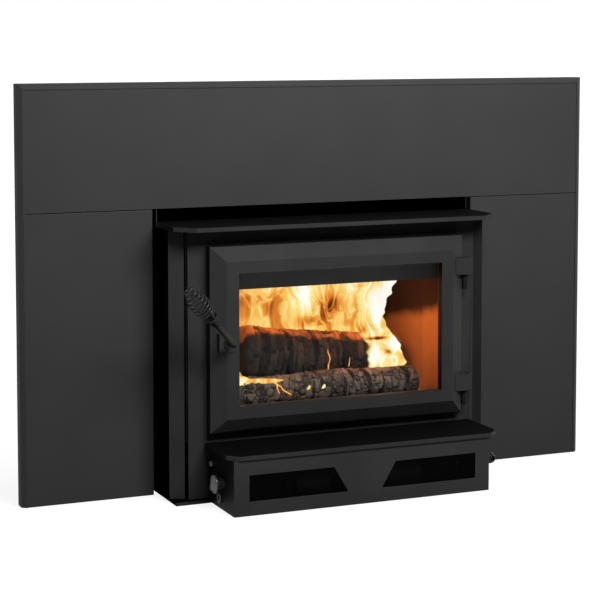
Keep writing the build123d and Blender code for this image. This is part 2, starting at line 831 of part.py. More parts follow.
def door_frame():
    """The door frame with its window, glass seat, gasket groove, handle pad and bore."""
    frame = door_outline()
    half_pad = pad_size / 2
    frame += block((handle_x - half_pad, handle_x + half_pad), (door_face_y - pad_proud, door_edge_y),
                   (handle_z - half_pad, handle_z + half_pad))
    behind = door_back_y + cut_margin
    frame -= block((-window_half, window_half), (door_face_y - cut_margin, behind), (window_low, window_high))
    seat = glass_half + slip_gap
    seat_z = (glass_low - slip_gap, glass_high + slip_gap)
    frame -= block((-seat, seat), (lip_back_y, behind), seat_z)
    ledge = retainer_half + slip_gap
    ledge_z = (seat_z[0] - retainer_ledge, seat_z[1] + retainer_ledge)
    frame -= block((-ledge, ledge), (glass_back_y, behind), ledge_z)
    groove_half = door_half - groove_inset
    frame -= rounded_ring(groove_half, door_low + groove_inset, door_high - groove_inset, groove_width,
                          door_back_y - groove_depth, behind)
    bore_start = (handle_x, door_face_y - pad_proud - cut_margin, handle_z)
    frame -= bar(handle_radius + running_gap, bore_start, (handle_x, behind, handle_z))
    hole_front = glass_back_y - glass_screw_length - slip_gap - hole_gap
    for x, z in glass_screw_points():
        frame -= bar(small_screw_radius + weld_gap, (x, hole_front, z), (x, behind, z))
    return frame


def glass_screw_points():
    """Where the retainer screws stand, as (x, z)."""
    low = glass_low - retainer_ledge / 2
    high = glass_high + retainer_ledge / 2
    return [(x, z) for x in glass_screw_places for z in (low, high)]


def glass_retainer(low, high):
    """A strip that holds one edge of the glass, drilled for its screws."""
    strip = block((-retainer_half, retainer_half), (retainer_y, retainer_y + retainer_sheet), (low, high))
    for x, z in glass_screw_points():
        if low < z < high:
            strip -= bar(small_screw_radius + hole_gap, (x, retainer_y - cut_margin, z),
                         (x, retainer_y + retainer_sheet + cut_margin, z))
    return strip


def glass_screw(x, z):
    """A pan-head screw through a retainer into the door frame."""
    seat = retainer_y + retainer_sheet
    shank = bar(small_screw_radius, (x, glass_back_y - glass_screw_length, z), (x, seat, z))
    return shank + bar(small_screw_head, (x, seat, z), (x, seat + screw_head_height, z))


def door_rope():
    """The rope gasket in the groove on the door's back."""
    radius = groove_width / 2 - slip_gap
    y = door_back_y - groove_depth + slip_gap + radius
    half = door_half - groove_inset
    height = door_high - door_low - 2 * groove_inset
    middle = Plane(origin=(0, y, door_middle_z), x_dir=(1, 0, 0), z_dir=(0, 1, 0))
    path = (middle * RectangleRounded(2 * half, height, groove_corner)).face().outer_wire()
    section = Plane(origin=path.position_at(0), z_dir=path.tangent_at(0)) * Circle(radius)
    return sweep(section, path=path)


def door():
    """The door frame, its glass, gaskets, retainers and screws."""
    glass = block((-glass_half, glass_half), (glass_front_y, glass_back_y), (glass_low, glass_high))
    tape = block((-glass_half, glass_half), (lip_back_y, glass_front_y), (glass_low, glass_high))
    tape -= block((-window_half - slip_gap, window_half + slip_gap),
                  (lip_back_y - cut_margin, glass_front_y + cut_margin),
                  (window_low - slip_gap, window_high + slip_gap))
    low_edge = window_low - retainer_setback
    high_edge = window_high + retainer_setback
    strips = [glass_retainer(low_edge - retainer_height, low_edge),
              glass_retainer(high_edge, high_edge + retainer_height)]
    screws = [glass_screw(x, z) for x, z in glass_screw_points()]
    return {"door_frame": door_frame(), "door_glass": glass, "glass_gasket": tape,
            "glass_retainers": group(strips), "glass_screws": group(screws), "door_gasket": door_rope()}


def upright(radius, low, high):
    """A round bar on the door's hinge line."""
    return bar(radius, (hinge_x, hinge_y, low), (hinge_x, hinge_y, high))


def hinges():
    """The blocks on the door, the knuckles on the firebox front and the pins between them."""
    blocks, knuckles, pins = [], [], []
    outline = door_outline()
    block_x = (door_half - hinge_lap, hinge_x + hinge_wrap)
    block_y = (hinge_y - hinge_nose, hinge_y + hinge_wrap)
    web_x = (hinge_x - hinge_pin_radius, hinge_x + hinge_pin_radius)
    for level in (door_middle_z - hinge_offset, door_middle_z + hinge_offset):
        low, high = level - hinge_block_height / 2, level + hinge_block_height / 2
        seat = low - slip_gap
        foot = seat - knuckle_height
        blocks.append(block(block_x, block_y, (low, high)) - outline
                      - upright(hinge_pin_radius + running_gap, low - cut_margin, high + cut_margin))
        knuckle = upright(knuckle_radius, foot, seat) + block(web_x, (hinge_y, front_y), (foot, seat))
        knuckles.append(knuckle - upright(hinge_pin_radius + weld_gap, foot - cut_margin, seat + cut_margin))
        pins.append(upright(hinge_pin_radius, foot, high - cut_margin))
    return {"door_hinge_blocks": group(blocks), "hinge_knuckles": group(knuckles), "hinge_pins": group(pins)}


# ---- Handle and latch --------------------------------------------------------------------------

def along_handle(distance):
    """A point on the handle's straight bar, at a distance from its bend."""
    direction = Vector(*handle_direction).normalized()
    return Vector(handle_x, handle_bend_y, handle_z) + direction * distance


def handle_rod():
    """The bent bar: a shaft through the door, a stop collar, the sloping bar and the coil's cone."""
    shaft_end = latch_end_y + latch_nut_height + latch_thread_tail
    corner = Vector(handle_x, handle_bend_y, handle_z)
    route = FilletPolyline((handle_x, shaft_end, handle_z), corner, along_handle(handle_bar_length),
                           radius=handle_bend)
    section = Plane(origin=route.position_at(0), z_dir=route.tangent_at(0)) * Circle(handle_radius)
    rod = sweep(section, path=route)
    stop = door_face_y - pad_proud - slip_gap
    rod += bar(stop_collar_radius, (handle_x, stop - stop_collar_length, handle_z),
               (handle_x, stop, handle_z))
    cone_start = along_handle(handle_bar_length - cut_margin)
    cone_end = along_handle(handle_bar_length + handle_cone_length)
    return rod + cone_bar(handle_radius, handle_cone_radius, cone_start, cone_end)


def shaft_bore(front, back):
    """The space that the handle's shaft takes in a piece fixed on it."""
    return bar(handle_radius + weld_gap, (handle_x, front - cut_margin, handle_z),
               (handle_x, back + cut_margin, handle_z))


def latch_tongue():
    """The tongue on the shaft's end; it points up at rest and left behind its catch when latched."""
    hub_front = door_back_y + slip_gap
    tongue = bar(latch_hub_radius, (handle_x, hub_front, handle_z), (handle_x, latch_end_y, handle_z))
    half = latch_width / 2
    tongue += block((handle_x - half, handle_x + half), (latch_y, latch_end_y),
                    (handle_z, handle_z + latch_reach))
    return tongue - shaft_bore(hub_front, latch_end_y)


def handle():
    """The turning handle with its spring grip, tongue and nut, and the fixed catch."""
    foot = along_handle(handle_bar_length + handle_cone_length)
    grip = spring_grip(foot, handle_direction, (0, 0, 1), handle_wire, handle_turns, handle_coil_length,
                       handle_coil_radii)
    nut_end = latch_end_y + latch_nut_height
    nut = hexagon_bar(latch_nut_width, (handle_x, latch_end_y, handle_z), (handle_x, nut_end, handle_z))
    nut -= shaft_bore(latch_end_y, nut_end)
    catch_right = -fuel_half
    catch = block((catch_right - catch_width, catch_right), (front_back_y, front_back_y + plate),
                  (handle_z - catch_height / 2, handle_z + catch_height / 2))
    return {"handle_rod": handle_rod(), "handle_coil": grip, "latch_tongue": latch_tongue(),
            "latch_nut": nut, "latch_catch": catch}


# ---- Blower box --------------------------------------------------------------------------------

def grille_outline(side, grow=0.0):
    """The (x, z) corners of one intake opening, grown by a margin."""
    low, high = grille_low - grow, grille_high + grow
    slope = (grille_inner_top - grille_inner_low) / (grille_high - grille_low)
    corners = [(grille_outer + grow, low), (grille_outer + grow, high),
               (grille_inner_top - grow + slope * grow, high), (grille_inner_low - grow - slope * grow, low)]
    return [(blower_centre + side * x, z) for x, z in corners]


def intake_net(side):
    """A flat net of square gaps behind one intake opening."""
    front = blower_front + sheet
    outline = make_face(Polyline([(x, front, z) for x, z in grille_outline(side, net_margin)], close=True))
    pitch_x = (grille_outer - grille_inner_low) / net_columns
    pitch_z = (grille_high - grille_low) / net_rows
    slope = (grille_inner_top - grille_inner_low) / (grille_high - grille_low)
    gaps = []
    for row in range(net_rows):
        z = grille_low + (row + 0.5) * pitch_z
        inner = grille_inner_low + slope * (z + pitch_z / 2 - grille_low)
        for column in range(net_columns):
            x = grille_outer - (column + 0.5) * pitch_x
            if x - pitch_x / 2 > inner:
                corner_x = (pitch_x - net_wire) / 2
                corner_z = (pitch_z - net_wire) / 2
                x = blower_centre + side * x
                corners = [(x - corner_x, front, z - corner_z), (x + corner_x, front, z - corner_z),
                           (x + corner_x, front, z + corner_z), (x - corner_x, front, z + corner_z)]
                gaps.append(Wire.make_polygon(corners))
    face = Face(outline.face().outer_wire(), gaps)
    return extrude(face, net_sheet, dir=(0, 1, 0))


def blower_box():
    """The sheet box in front of the firebox, open at the back."""
    box = block((box_left, box_right), (blower_front, box_back), (0, blower_height))
    box -= block((box_left + sheet, box_right - sheet), (blower_front + sheet, box_back + cut_margin),
                 (sheet, blower_height - sheet))
    for side in LEFT_AND_RIGHT:
        box -= prism_back(grille_outline(side), blower_front - cut_margin, blower_front + sheet + cut_margin)
        outer = blower_centre + side * blower_half
        for level in box_screw_levels:
            box -= bar(box_screw_radius + hole_gap, (outer - side * 2 * sheet, box_screw_y, level),
                       (outer + side, box_screw_y, level))
    left, inside = box_left - cut_margin, box_left + sheet + cut_margin
    box -= bar(bush_radius + hole_gap, (left, knob_y, knob_z), (inside, knob_y, knob_z))
    return box - bar(gland_radius + weld_gap, (left, gland_y, gland_z), (inside, gland_y, gland_z))


def box_screw(side, level):
    """A screw through the box's side into a tab on the firebox front."""
    outer = blower_centre + side * blower_half
    y = box_screw_y
    shank = bar(box_screw_radius, (outer, y, level), (outer - side * box_screw_length, y, level))
    return shank + bar(box_screw_head, (outer, y, level), (outer + side * screw_head_height, y, level))


def scroll(side):
    """One blower housing, open to the back, with an inlet hole in each side wall and a foot."""
    middle = blower_centre + side * scroll_offset
    outer_x = (middle - scroll_half, middle + scroll_half)
    inner_x = (outer_x[0] + sheet, outer_x[1] - sheet)
    inner_radius = scroll_radius - sheet
    shell = bar(scroll_radius, (outer_x[0], fan_y, fan_z), (outer_x[1], fan_y, fan_z))
    shell += block(outer_x, (fan_y, scroll_outlet_y), (fan_z, fan_z + scroll_radius))
    half_foot, foot_reach = scroll_foot
    shell += block((middle - half_foot, middle + half_foot), (fan_y - foot_reach, fan_y + foot_reach),
                   (sheet, fan_z))
    shell -= bar(inner_radius, (inner_x[0], fan_y, fan_z), (inner_x[1], fan_y, fan_z))
    shell -= block(inner_x, (fan_y, scroll_outlet_y + cut_margin), (fan_z + sheet, fan_z + inner_radius))
    return shell - bar(scroll_inlet_radius, (outer_x[0] - cut_margin, fan_y, fan_z),
                       (outer_x[1] + cut_margin, fan_y, fan_z))


def fan_wheel(side):
    """One blower wheel: a hub on a back disc, a ring of blades and an end ring."""
    middle = blower_centre + side * scroll_offset
    near = middle - side * wheel_half
    far = middle + side * wheel_half
    inner_radius = wheel_radius - wheel_depth
    wheel = bar(wheel_radius, (near, fan_y, fan_z), (near + side * sheet, fan_y, fan_z))
    wheel += bar(wheel_hub_radius, (near, fan_y, fan_z), (near + side * wheel_half, fan_y, fan_z))
    ring = bar(wheel_radius, (far - side * sheet, fan_y, fan_z), (far, fan_y, fan_z))
    wheel += ring - bar(inner_radius, (far - side * 3 * sheet, fan_y, fan_z), (far + side, fan_y, fan_z))
    half_blade = blade_thickness / 2
    blade_x = sorted((near + side * blade_inset, far - side * blade_inset))
    blade_z = (inner_radius + blade_inset, wheel_radius - blade_inset)
    blade = block(blade_x, (-half_blade, half_blade), blade_z)
    for i in range(wheel_blades):
        turn = Location((0, fan_y, fan_z), (1, 0, 0), 360 * i / wheel_blades)
        wheel += blade.moved(turn)
    bore = bar(shaft_radius + weld_gap, (near - side, fan_y, fan_z), (far + side, fan_y, fan_z))
    return wheel - bore


def blower():
    """The motor, its shaft and wheels, and the scroll housings."""
    ends = (blower_centre - motor_half, blower_centre + motor_half)
    motor = bar(motor_radius, (ends[0], fan_y, fan_z), (ends[1], fan_y, fan_z))
    motor += block((blower_centre - motor_foot, blower_centre + motor_foot),
                   (fan_y - motor_foot, fan_y + motor_foot), (sheet, fan_z))
    motor -= bar(shaft_radius + running_gap, (ends[0] - cut_margin, fan_y, fan_z),
                 (ends[1] + cut_margin, fan_y, fan_z))
    reach = scroll_offset + shaft_tail
    shaft = bar(shaft_radius, (blower_centre - reach, fan_y, fan_z), (blower_centre + reach, fan_y, fan_z))
    return {"blower_motor": motor, "fan_shaft": shaft,
            "fan_wheels": group([fan_wheel(side) for side in LEFT_AND_RIGHT]),
            "blower_scrolls": group([scroll(side) for side in LEFT_AND_RIGHT])}


def speed_control():
    """The fixed rotary control with its threaded bush and nut, and the knob that turns in it."""
    inside = box_left + sheet
    body = bar(control_radius, (inside, knob_y, knob_z), (inside + control_depth, knob_y, knob_z))
    nut_face = box_left - bush_nut_height
    body += bar(bush_radius, (nut_face, knob_y, knob_z), (inside + sheet, knob_y, knob_z))
    body += hexagon_bar(2 * bush_nut_radius, (nut_face, knob_y, knob_z), (box_left, knob_y, knob_z))
    hub_end = nut_face - slip_gap
    disc_back = hub_end - knob_hub_length
    stem_end = hub_end + knob_stem_length
    bore_end = stem_end + slip_gap
    body -= bar(knob_stem_radius + running_gap, (nut_face - cut_margin, knob_y, knob_z),
                (bore_end, knob_y, knob_z))
    disc_front = disc_back - knob_disc_thickness
    knob = bar(knob_disc_radius, (disc_front, knob_y, knob_z), (disc_back, knob_y, knob_z))
    knob += bar(knob_hub_radius, (disc_back, knob_y, knob_z), (hub_end, knob_y, knob_z))
    knob += bar(knob_stem_radius, (hub_end, knob_y, knob_z), (stem_end, knob_y, knob_z))
    return {"speed_control": body, "speed_knob": knob}


def cord_gland():
    """The bushing in the box's side where a supply lead would enter."""
    inner, outer = box_left + sheet + gland_reach, box_left - gland_reach
    gland = bar(gland_radius, (outer, gland_y, gland_z), (inner, gland_y, gland_z))
    flange = gland_radius + gland_flange
    gland += bar(flange, (outer, gland_y, gland_z), (box_left, gland_y, gland_z))
    return gland - bar(gland_bore, (outer - cut_margin, gland_y, gland_z),
                       (inner + cut_margin, gland_y, gland_z))


def blower_box_parts():
    """The box, its intake nets, gland, thermal switch and screws."""
    thermal = bar(thermal_radius, (thermal_x, thermal_y, firebox_floor_z - thermal_height),
                  (thermal_x, thermal_y, firebox_floor_z))
    screws = [box_screw(side, level) for side in LEFT_AND_RIGHT for level in box_screw_levels]
    nets = [intake_net(side) for side in LEFT_AND_RIGHT]
    return {"blower_box": blower_box(), "intake_grilles": group(nets), "cord_gland": cord_gland(),
            "thermal_switch": thermal, "blower_screws": group(screws)}


# ---- Combustion air control --------------------------------------------------------------------

def air_box():
    """The air inlet under the firebox floor, with a slot and rails for its sliding damper."""
    x, y = (air_box_left, air_box_right), (air_box_front, air_box_back)
    box = block(x, y, (air_box_low, firebox_floor_z))
    box -= block((x[0] + sheet, x[1] - sheet), (y[0] + sheet, y[1] - sheet),
                 (air_box_low + sheet, firebox_floor_z + cut_margin))
    middle = (air_box_left + air_box_right) / 2
    box -= block((middle - air_slot_width / 2, middle + air_slot_width / 2),
                 (air_slot_front, air_slot_front + air_travel),
                 (air_box_low - cut_margin, air_box_low + sheet + cut_margin))
    rail_foot = damper_low - slip_gap - sheet
    for side, edge in zip(LEFT_AND_RIGHT, x):
        box += block(sorted((edge, edge - side * (sheet - slip_gap))), y, (rail_foot, air_box_low))
        box += block(sorted((edge, edge - side * (sheet + rail_grip))), y, (rail_foot, rail_foot + sheet))
    return box


def air_damper():
    """The sliding damper plate with the control rod welded in its tab."""
    x = (air_box_left + sheet, air_box_right - sheet)
    half_tab = damper_tab / 2
    tab_back = damper_front + damper_tab
    damper = block(x, (damper_front, damper_front + damper_length), (damper_low, damper_high))
    damper += block((air_x - half_tab, air_x + half_tab), (damper_front, tab_back),
                    (air_z - half_tab, damper_low))
    cone_back = air_coil_front + air_coil_length + air_cone_length
    damper += bar(air_rod_radius, (air_x, cone_back - cut_margin, air_z), (air_x, tab_back, air_z))
    return damper + cone_bar(air_cone_radius, air_rod_radius, (air_x, cone_back - air_cone_length, air_z),
                             (air_x, cone_back, air_z))


def air_control():
    """The air inlet box, the damper on its rod and the rod's spring grip."""
    foot = (air_x, air_coil_front + air_coil_length, air_z)
    grip = spring_grip(foot, (0, -1, 0), (0, 0, 1), air_wire, air_turns, air_coil_length, air_coil_radii)
    return {"air_box": air_box(), "air_damper_rod": air_damper(), "air_knob_coil": grip}


# ---- Fuel --------------------------------------------------------------------------------------

def log(ends, phase):
    """A split log with uneven sides between its two ends."""
    hearth = floor_top + brick_thickness + slip_gap
    faces = []
    for i in range(log_stations):
        share = i / (log_stations - 1)
        x, y, z, depth, height = [a + (b - a) * share for a, b in zip(*ends)]
        corners = []
        for k in range(log_sides):
            angle = 2 * math.pi * k / log_sides
            uneven = 1 - log_unevenness * (1 + math.sin(3 * angle + phase + 2.1 * i))
            corners.append((x, y + depth * uneven * math.cos(angle),
                            hearth + z + height * uneven * math.sin(angle)))
        faces.append(make_face(Polyline(corners, close=True)))
    return loft(faces, ruled=True)


def logs():
    """The two lower logs on the floor bricks and the log that leans on them."""
    return {"lower_logs": group([log(lower_front_log, 0), log(lower_rear_log, 1)]),
            "upper_log": log(top_log, 2)}


# ---- Files -------------------------------------------------------------------------------------

def main():
    """Builds every sub-assembly and writes one file per piece."""
    os.makedirs("parts", exist_ok=True)
    for build in (surround_panels, surround_trims, jacket, firebox, lining, baffle, shelves, door,
                  hinges, handle, blower, speed_control, blower_box_parts, air_control, logs):
        for name, shape in build().items():
            export_step(shape, f"parts/{name}.step")


main()
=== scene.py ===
"""Looks of a wood-burning fireplace insert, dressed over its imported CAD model.

Metres. X runs right, Y back and Z up. Y = 0 is the surround's front face, Z = 0 the hearth and
X = 0 the firebox's middle.
"""
import logging
import math
from dataclasses import dataclass
from enum import Enum
from typing import Callable, Sequence

import bmesh
import bpy
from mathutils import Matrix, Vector, noise


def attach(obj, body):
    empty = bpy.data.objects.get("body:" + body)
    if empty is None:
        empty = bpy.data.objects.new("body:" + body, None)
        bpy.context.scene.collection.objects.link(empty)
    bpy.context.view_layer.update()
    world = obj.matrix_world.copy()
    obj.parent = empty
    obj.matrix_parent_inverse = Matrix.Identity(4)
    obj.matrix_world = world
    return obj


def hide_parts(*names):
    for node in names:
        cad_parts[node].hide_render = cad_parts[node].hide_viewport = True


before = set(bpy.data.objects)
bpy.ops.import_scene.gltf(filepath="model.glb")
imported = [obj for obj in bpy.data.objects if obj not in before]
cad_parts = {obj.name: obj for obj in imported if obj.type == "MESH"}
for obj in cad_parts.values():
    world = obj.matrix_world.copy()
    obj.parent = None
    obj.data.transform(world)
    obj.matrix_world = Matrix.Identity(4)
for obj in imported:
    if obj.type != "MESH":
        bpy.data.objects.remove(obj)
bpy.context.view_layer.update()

Colour = tuple[float, float, float]
Point = tuple[float, float, float]
Stops = Sequence[tuple[float, Colour]]
Inputs = dict[str, object]
Given = dict[str, "Value"]
Piece = bpy.types.Object
Tree = bpy.types.NodeTree
log = logging.getLogger("insert")

DUST: Colour = (0.10, 0.095, 0.09)
SHADED: Colour = (0.002, 0.002, 0.002)
UPPER_BRICK_DARK: Colour = (0.014, 0.004, 0.001)
AMBER: Colour = (1.0, 0.29, 0.06)
CLAY: Stops = ((0.0, (0.32, 0.175, 0.065)), (0.5, (0.48, 0.27, 0.10)), (1.0, (0.60, 0.36, 0.15)))
CHAR: Stops = ((0.3, (0.03, 0.026, 0.022)), (0.5, (0.12, 0.10, 0.085)), (0.7, (0.30, 0.26, 0.22)))
ASH: Stops = ((0.25, (0.04, 0.035, 0.032)), (0.5, (0.19, 0.17, 0.155)), (0.8, (0.42, 0.39, 0.36)))
EMBERS: Stops = ((0.0, (0.0, 0.0, 0.0)), (0.3, (0.14, 0.026, 0.003)), (0.65, (0.6, 0.15, 0.015)),
                 (1.0, (1.0, 0.55, 0.12)))
DEEP_EMBERS: Stops = ((0.0, (0.0, 0.0, 0.0)), (0.4, (0.12, 0.014, 0.001)), (1.0, (1.0, 0.3, 0.035)))
FLAMES: Stops = ((0.0, (0.07, 0.010, 0.001)), (0.16, (0.34, 0.07, 0.008)), (0.34, (0.80, 0.27, 0.035)),
                 (0.50, (0.95, 0.50, 0.10)), (0.64, (0.98, 0.71, 0.22)), (0.78, (1.0, 0.88, 0.42)),
                 (0.90, (1.0, 0.97, 0.75)), (1.0, (1.0, 1.0, 0.94)))


class Slot(Enum):
    """Names for the material slots of the pieces that are added to the CAD model; nothing in the script uses
    them.
    """

    WOOD = "charred_wood"
    GRILLE = "grille_black"


class Lamp(Enum):
    """The kinds of lamp."""

    SUN = "SUN"
    AREA = "AREA"
    POINT = "POINT"


# ---- Node graphs -------------------------------------------------------------------------------

class Value:
    """What a node puts out, ready for sums."""

    def __init__(self, graph: "Graph", socket: bpy.types.NodeSocket) -> None:
        """Keeps the graph and the output."""
        self.graph, self.socket = graph, socket

    def __add__(self, other: "Value | float") -> "Value":
        """Adds a value."""
        return self.graph.sum("ADD", self, other)

    def __sub__(self, other: "Value | float") -> "Value":
        """Takes a value away."""
        return self.graph.sum("SUBTRACT", self, other)

    def __rsub__(self, other: float) -> "Value":
        """Takes this value from a number."""
        return self.graph.sum("SUBTRACT", other, self)

    def __mul__(self, other: "Value | float") -> "Value":
        """Multiplies by a value."""
        return self.graph.sum("MULTIPLY", self, other)

    def __abs__(self) -> "Value":
        """Drops the sign."""
        return self.graph.sum("ABSOLUTE", self)


class Graph:
    """Adds nodes to one tree and joins them."""

    def __init__(self, tree: Tree) -> None:
        """Keeps the tree."""
        self.tree = tree

    def node(self, kind: str, values: dict | None = None, **settings: object) -> bpy.types.Node:
        """Adds a node.

        Args:
            kind: the node's type name.
            values: what goes into its inputs, by name or number.
            settings: the node's own settings.

        Returns:
            The new node.
        """
        made = self.tree.nodes.new(kind)
        for key, value in settings.items():
            setattr(made, key, value)
        for key, value in (values or {}).items():
            self.put(made, key, value)
        return made

    def out(self, kind: str, values: dict | None = None, output: str | int = 0, **settings: object) -> Value:
        """Adds a node and gives one of its outputs.

        Args:
            kind: the node's type name.
            values: what goes into its inputs, by name or number.
            output: the output's name or number.
            settings: the node's own settings.

        Returns:
            The output.
        """
        return Value(self, self.node(kind, values, **settings).outputs[output])

    def put(self, node: bpy.types.Node, key: str | int, value: object) -> None:
        """Sets an input to a plain value, or joins it to an output.

        Args:
            node: the node with the input.
            key: the input's name or number.
            value: a plain value, or what another node puts out.
        """
        if isinstance(value, Value):
            self.tree.links.new(value.socket, node.inputs[key])
        else:
            node.inputs[key].default_value = value

    def place(self) -> Value:
        """Gives the Object coordinates."""
        return self.out("ShaderNodeTexCoord", output="Object")

    def normal(self) -> Value:
        """Gives the surface's normal."""
        return self.out("ShaderNodeNewGeometry", output="Normal")

    def attribute(self, name: str) -> Value:
        """Gives a named attribute of the mesh."""
        return self.out("ShaderNodeAttribute", output="Fac", attribute_name=name)

    def split(self, vector: Value) -> tuple[Value, Value, Value]:
        """Gives a vector's three parts."""
        x, y, z = self.node("ShaderNodeSeparateXYZ", {0: vector}).outputs
        return Value(self, x), Value(self, y), Value(self, z)

    def length(self, vector: Value) -> Value:
        """Gives a vector's length."""
        return self.out("ShaderNodeVectorMath", {0: vector}, "Value", operation="LENGTH")

    def stretched(self, vector: Value, scale: Point, move: Point = (0.0, 0.0, 0.0)) -> Value:
        """Scales coordinates on each axis, then moves them."""
        return self.out("ShaderNodeMapping", {"Vector": vector, "Scale": scale, "Location": move})

    def warped(self, vector: Value, pattern: Value, move: Point) -> Value:
        """Multiplies coordinates by a pattern, then moves them."""
        return self.out("ShaderNodeVectorMath", {0: vector, 1: pattern, 2: move}, operation="MULTIPLY_ADD")

    def noise(self, vector: Value, scale: float | Value, detail: float = 3.0, rough: float = 0.5,
              twist: float = 0.0, output: int = 0) -> Value:
        """Adds a noise pattern.

        Args:
            vector: the coordinates.
            scale: the pattern's scale per metre.
            detail: how many finer layers it has.
            rough: how strong they are.
            twist: how much the pattern is distorted.
            output: 0 for a value, 1 for three values.

        Returns:
            The pattern, about 0.5.
        """
        values = {"Vector": vector, "Scale": scale, "Detail": detail, "Roughness": rough, "Distortion": twist}
        return self.out("ShaderNodeTexNoise", values, output)

    def cells(self, vector: Value, scale: float, output: str = "Distance") -> Value:
        """Gives the distance within irregular cells, or each cell's colour."""
        return self.out("ShaderNodeTexVoronoi", {"Vector": vector, "Scale": scale}, output)

    def rays(self, *kinds: str) -> Value:
        """Finds the rays of some kinds.

        Args:
            kinds: the kinds, such as Camera.

        Returns:
            1 on those rays and 0 on all others.
        """
        path = self.node("ShaderNodeLightPath").outputs
        found = Value(self, path[f"Is {kinds[0]} Ray"])
        for kind in kinds[1:]:
            found = self.sum("MAXIMUM", found, Value(self, path[f"Is {kind} Ray"]))
        return found

    def sum(self, kind: str, first: Value | float, second: Value | float = 0.0, limit: bool = False) -> Value:
        """Works out one sum.

        Args:
            kind: the operation, such as ADD.
            first: the first value.
            second: the second value.
            limit: keeps the result from 0 to 1.

        Returns:
            The result.
        """
        return self.out("ShaderNodeMath", {0: first, 1: second}, operation=kind, use_clamp=limit)

    def span(self, value: Value, low: Value | float, high: Value | float, new_low: float = 0.0,
             new_high: float = 1.0, smooth: bool = True) -> Value:
        """Maps a range of values to another.

        Args:
            value: what is mapped.
            low: where the old range starts.
            high: where it ends.
            new_low: where the new range starts.
            new_high: where it ends.
            smooth: eases both ends.

        Returns:
            The mapped value, kept inside the new range.
        """
        values = {"Value": value, "From Min": low, "From Max": high, "To Min": new_low, "To Max": new_high}
        return self.out("ShaderNodeMapRange", values, interpolation_type="SMOOTHSTEP" if smooth else "LINEAR")

    def mix(self, share: Value | float, first: Value | Colour, second: Value | Colour) -> Value:
        """Mixes two colours.

        Args:
            share: how much of the second is used.
            first: the first colour.
            second: the second colour.

        Returns:
            The mixed colour.
        """
        colours = ((*value, 1.0) if isinstance(value, tuple) else value for value in (first, second))
        return self.out("ShaderNodeMix", dict(zip((0, 6, 7), (share, *colours))), 2, data_type="RGBA")

    def ramp(self, value: Value, stops: Stops) -> Value:
        """Turns a value into a colour.

        Args:
            value: what is looked up.
            stops: each place on the ramp with its colour.

        Returns:
            The colour.
        """
        node = self.node("ShaderNodeValToRGB", {0: value})
        elements = node.color_ramp.elements
        while len(elements) < len(stops):
            elements.new(0.5)
        for element, (place, colour) in zip(elements, stops):
            element.position = place
            element.color = (*colour, 1.0)
        return Value(self, node.outputs[0])

    def bump(self, height: Value, depth: float, strength: float) -> Value:
        """Gives a normal with relief of a depth in metres."""
        return self.out("ShaderNodeBump", {"Height": height, "Distance": depth, "Strength": strength})

    def effect(self, group: Tree, **values: float) -> tuple[Value, ...]:
        """Places a shared effect with its own values and gives its outputs."""
        placed = self.node("ShaderNodeGroup", values, node_tree=group)
        return tuple(Value(self, socket) for socket in placed.outputs)


# ---- Shared effects ----------------------------------------------------------------------------

def effect_group(name: str, inputs: dict[str, float], outputs: Sequence[str],
                 build: Callable[[Graph, Given], Sequence[Value]]) -> Tree:
    """Makes a node group once.

    Args:
        name: the group's name.
        inputs: each input with its usual value.
        outputs: the names of the outputs.
        build: takes the graph and the inputs, and gives the outputs.

    Returns:
        The group.
    """
    found = bpy.data.node_groups.get(name)
    if found:
        return found
    tree = bpy.data.node_groups.new(name, "ShaderNodeTree")
    for label, usual in inputs.items():
        socket = tree.interface.new_socket(name=label, in_out="INPUT", socket_type="NodeSocketFloat")
        socket.default_value = usual
    for label in outputs:
        tree.interface.new_socket(name=label, in_out="OUTPUT", socket_type="NodeSocketFloat")
    graph = Graph(tree)
    start, end = graph.node("NodeGroupInput"), graph.node("NodeGroupOutput")
    given = {label: Value(graph, start.outputs[label]) for label in inputs}
    for label, result in zip(outputs, build(graph, given)):
        graph.put(end, label, result)
    return tree


def grain_effect() -> Tree:
    """Fine grain over broad patches: Height and Patch."""
    def build(graph: Graph, given: Given) -> Sequence[Value]:
        """Joins a fine noise and a broad one."""
        place = graph.place()
        return graph.noise(place, given["Grain"], 2.0, 0.6), graph.noise(place, given["Patch"], 4.0, 0.6)
    return effect_group("grain", {"Grain": 900.0, "Patch": 8.0}, ("Height", "Patch"), build)


def rub_and_highlight_effect() -> Tree:
    """Edges that show rubbing, with a painted highlight along them: Mask."""
    def build(graph: Graph, given: Given) -> Sequence[Value]:
        """Compares the rounded normal with the real one."""
        rounded = graph.out("ShaderNodeBevel", {"Radius": given["Reach"]}, samples=4)
        match = graph.out("ShaderNodeVectorMath", {0: rounded, 1: graph.normal()}, "Value",
                          operation="DOT_PRODUCT")
        broken = graph.span(graph.noise(graph.place(), 60.0, 4.0, 0.7), 0.35, 0.65)
        return (graph.span(match, 0.99, 0.8) * (broken * given["Break"] + 0.5),)
    return effect_group("edge rubbing and highlight", {"Reach": 0.0015, "Break": 0.7}, ("Mask",), build)


def dust_effect() -> Tree:
    """Fine dust on what faces up: Mask."""
    def build(graph: Graph, given: Given) -> Sequence[Value]:
        """Spreads dust by the normal and a noise."""
        facing = graph.span(graph.split(graph.normal())[2], 0.35, 0.95)
        cloud = graph.span(graph.noise(graph.place(), 14.0, 5.0, 0.65), 0.4, 0.7)
        return (facing * cloud * given["Amount"],)
    return effect_group("settled dust", {"Amount": 0.3}, ("Mask",), build)


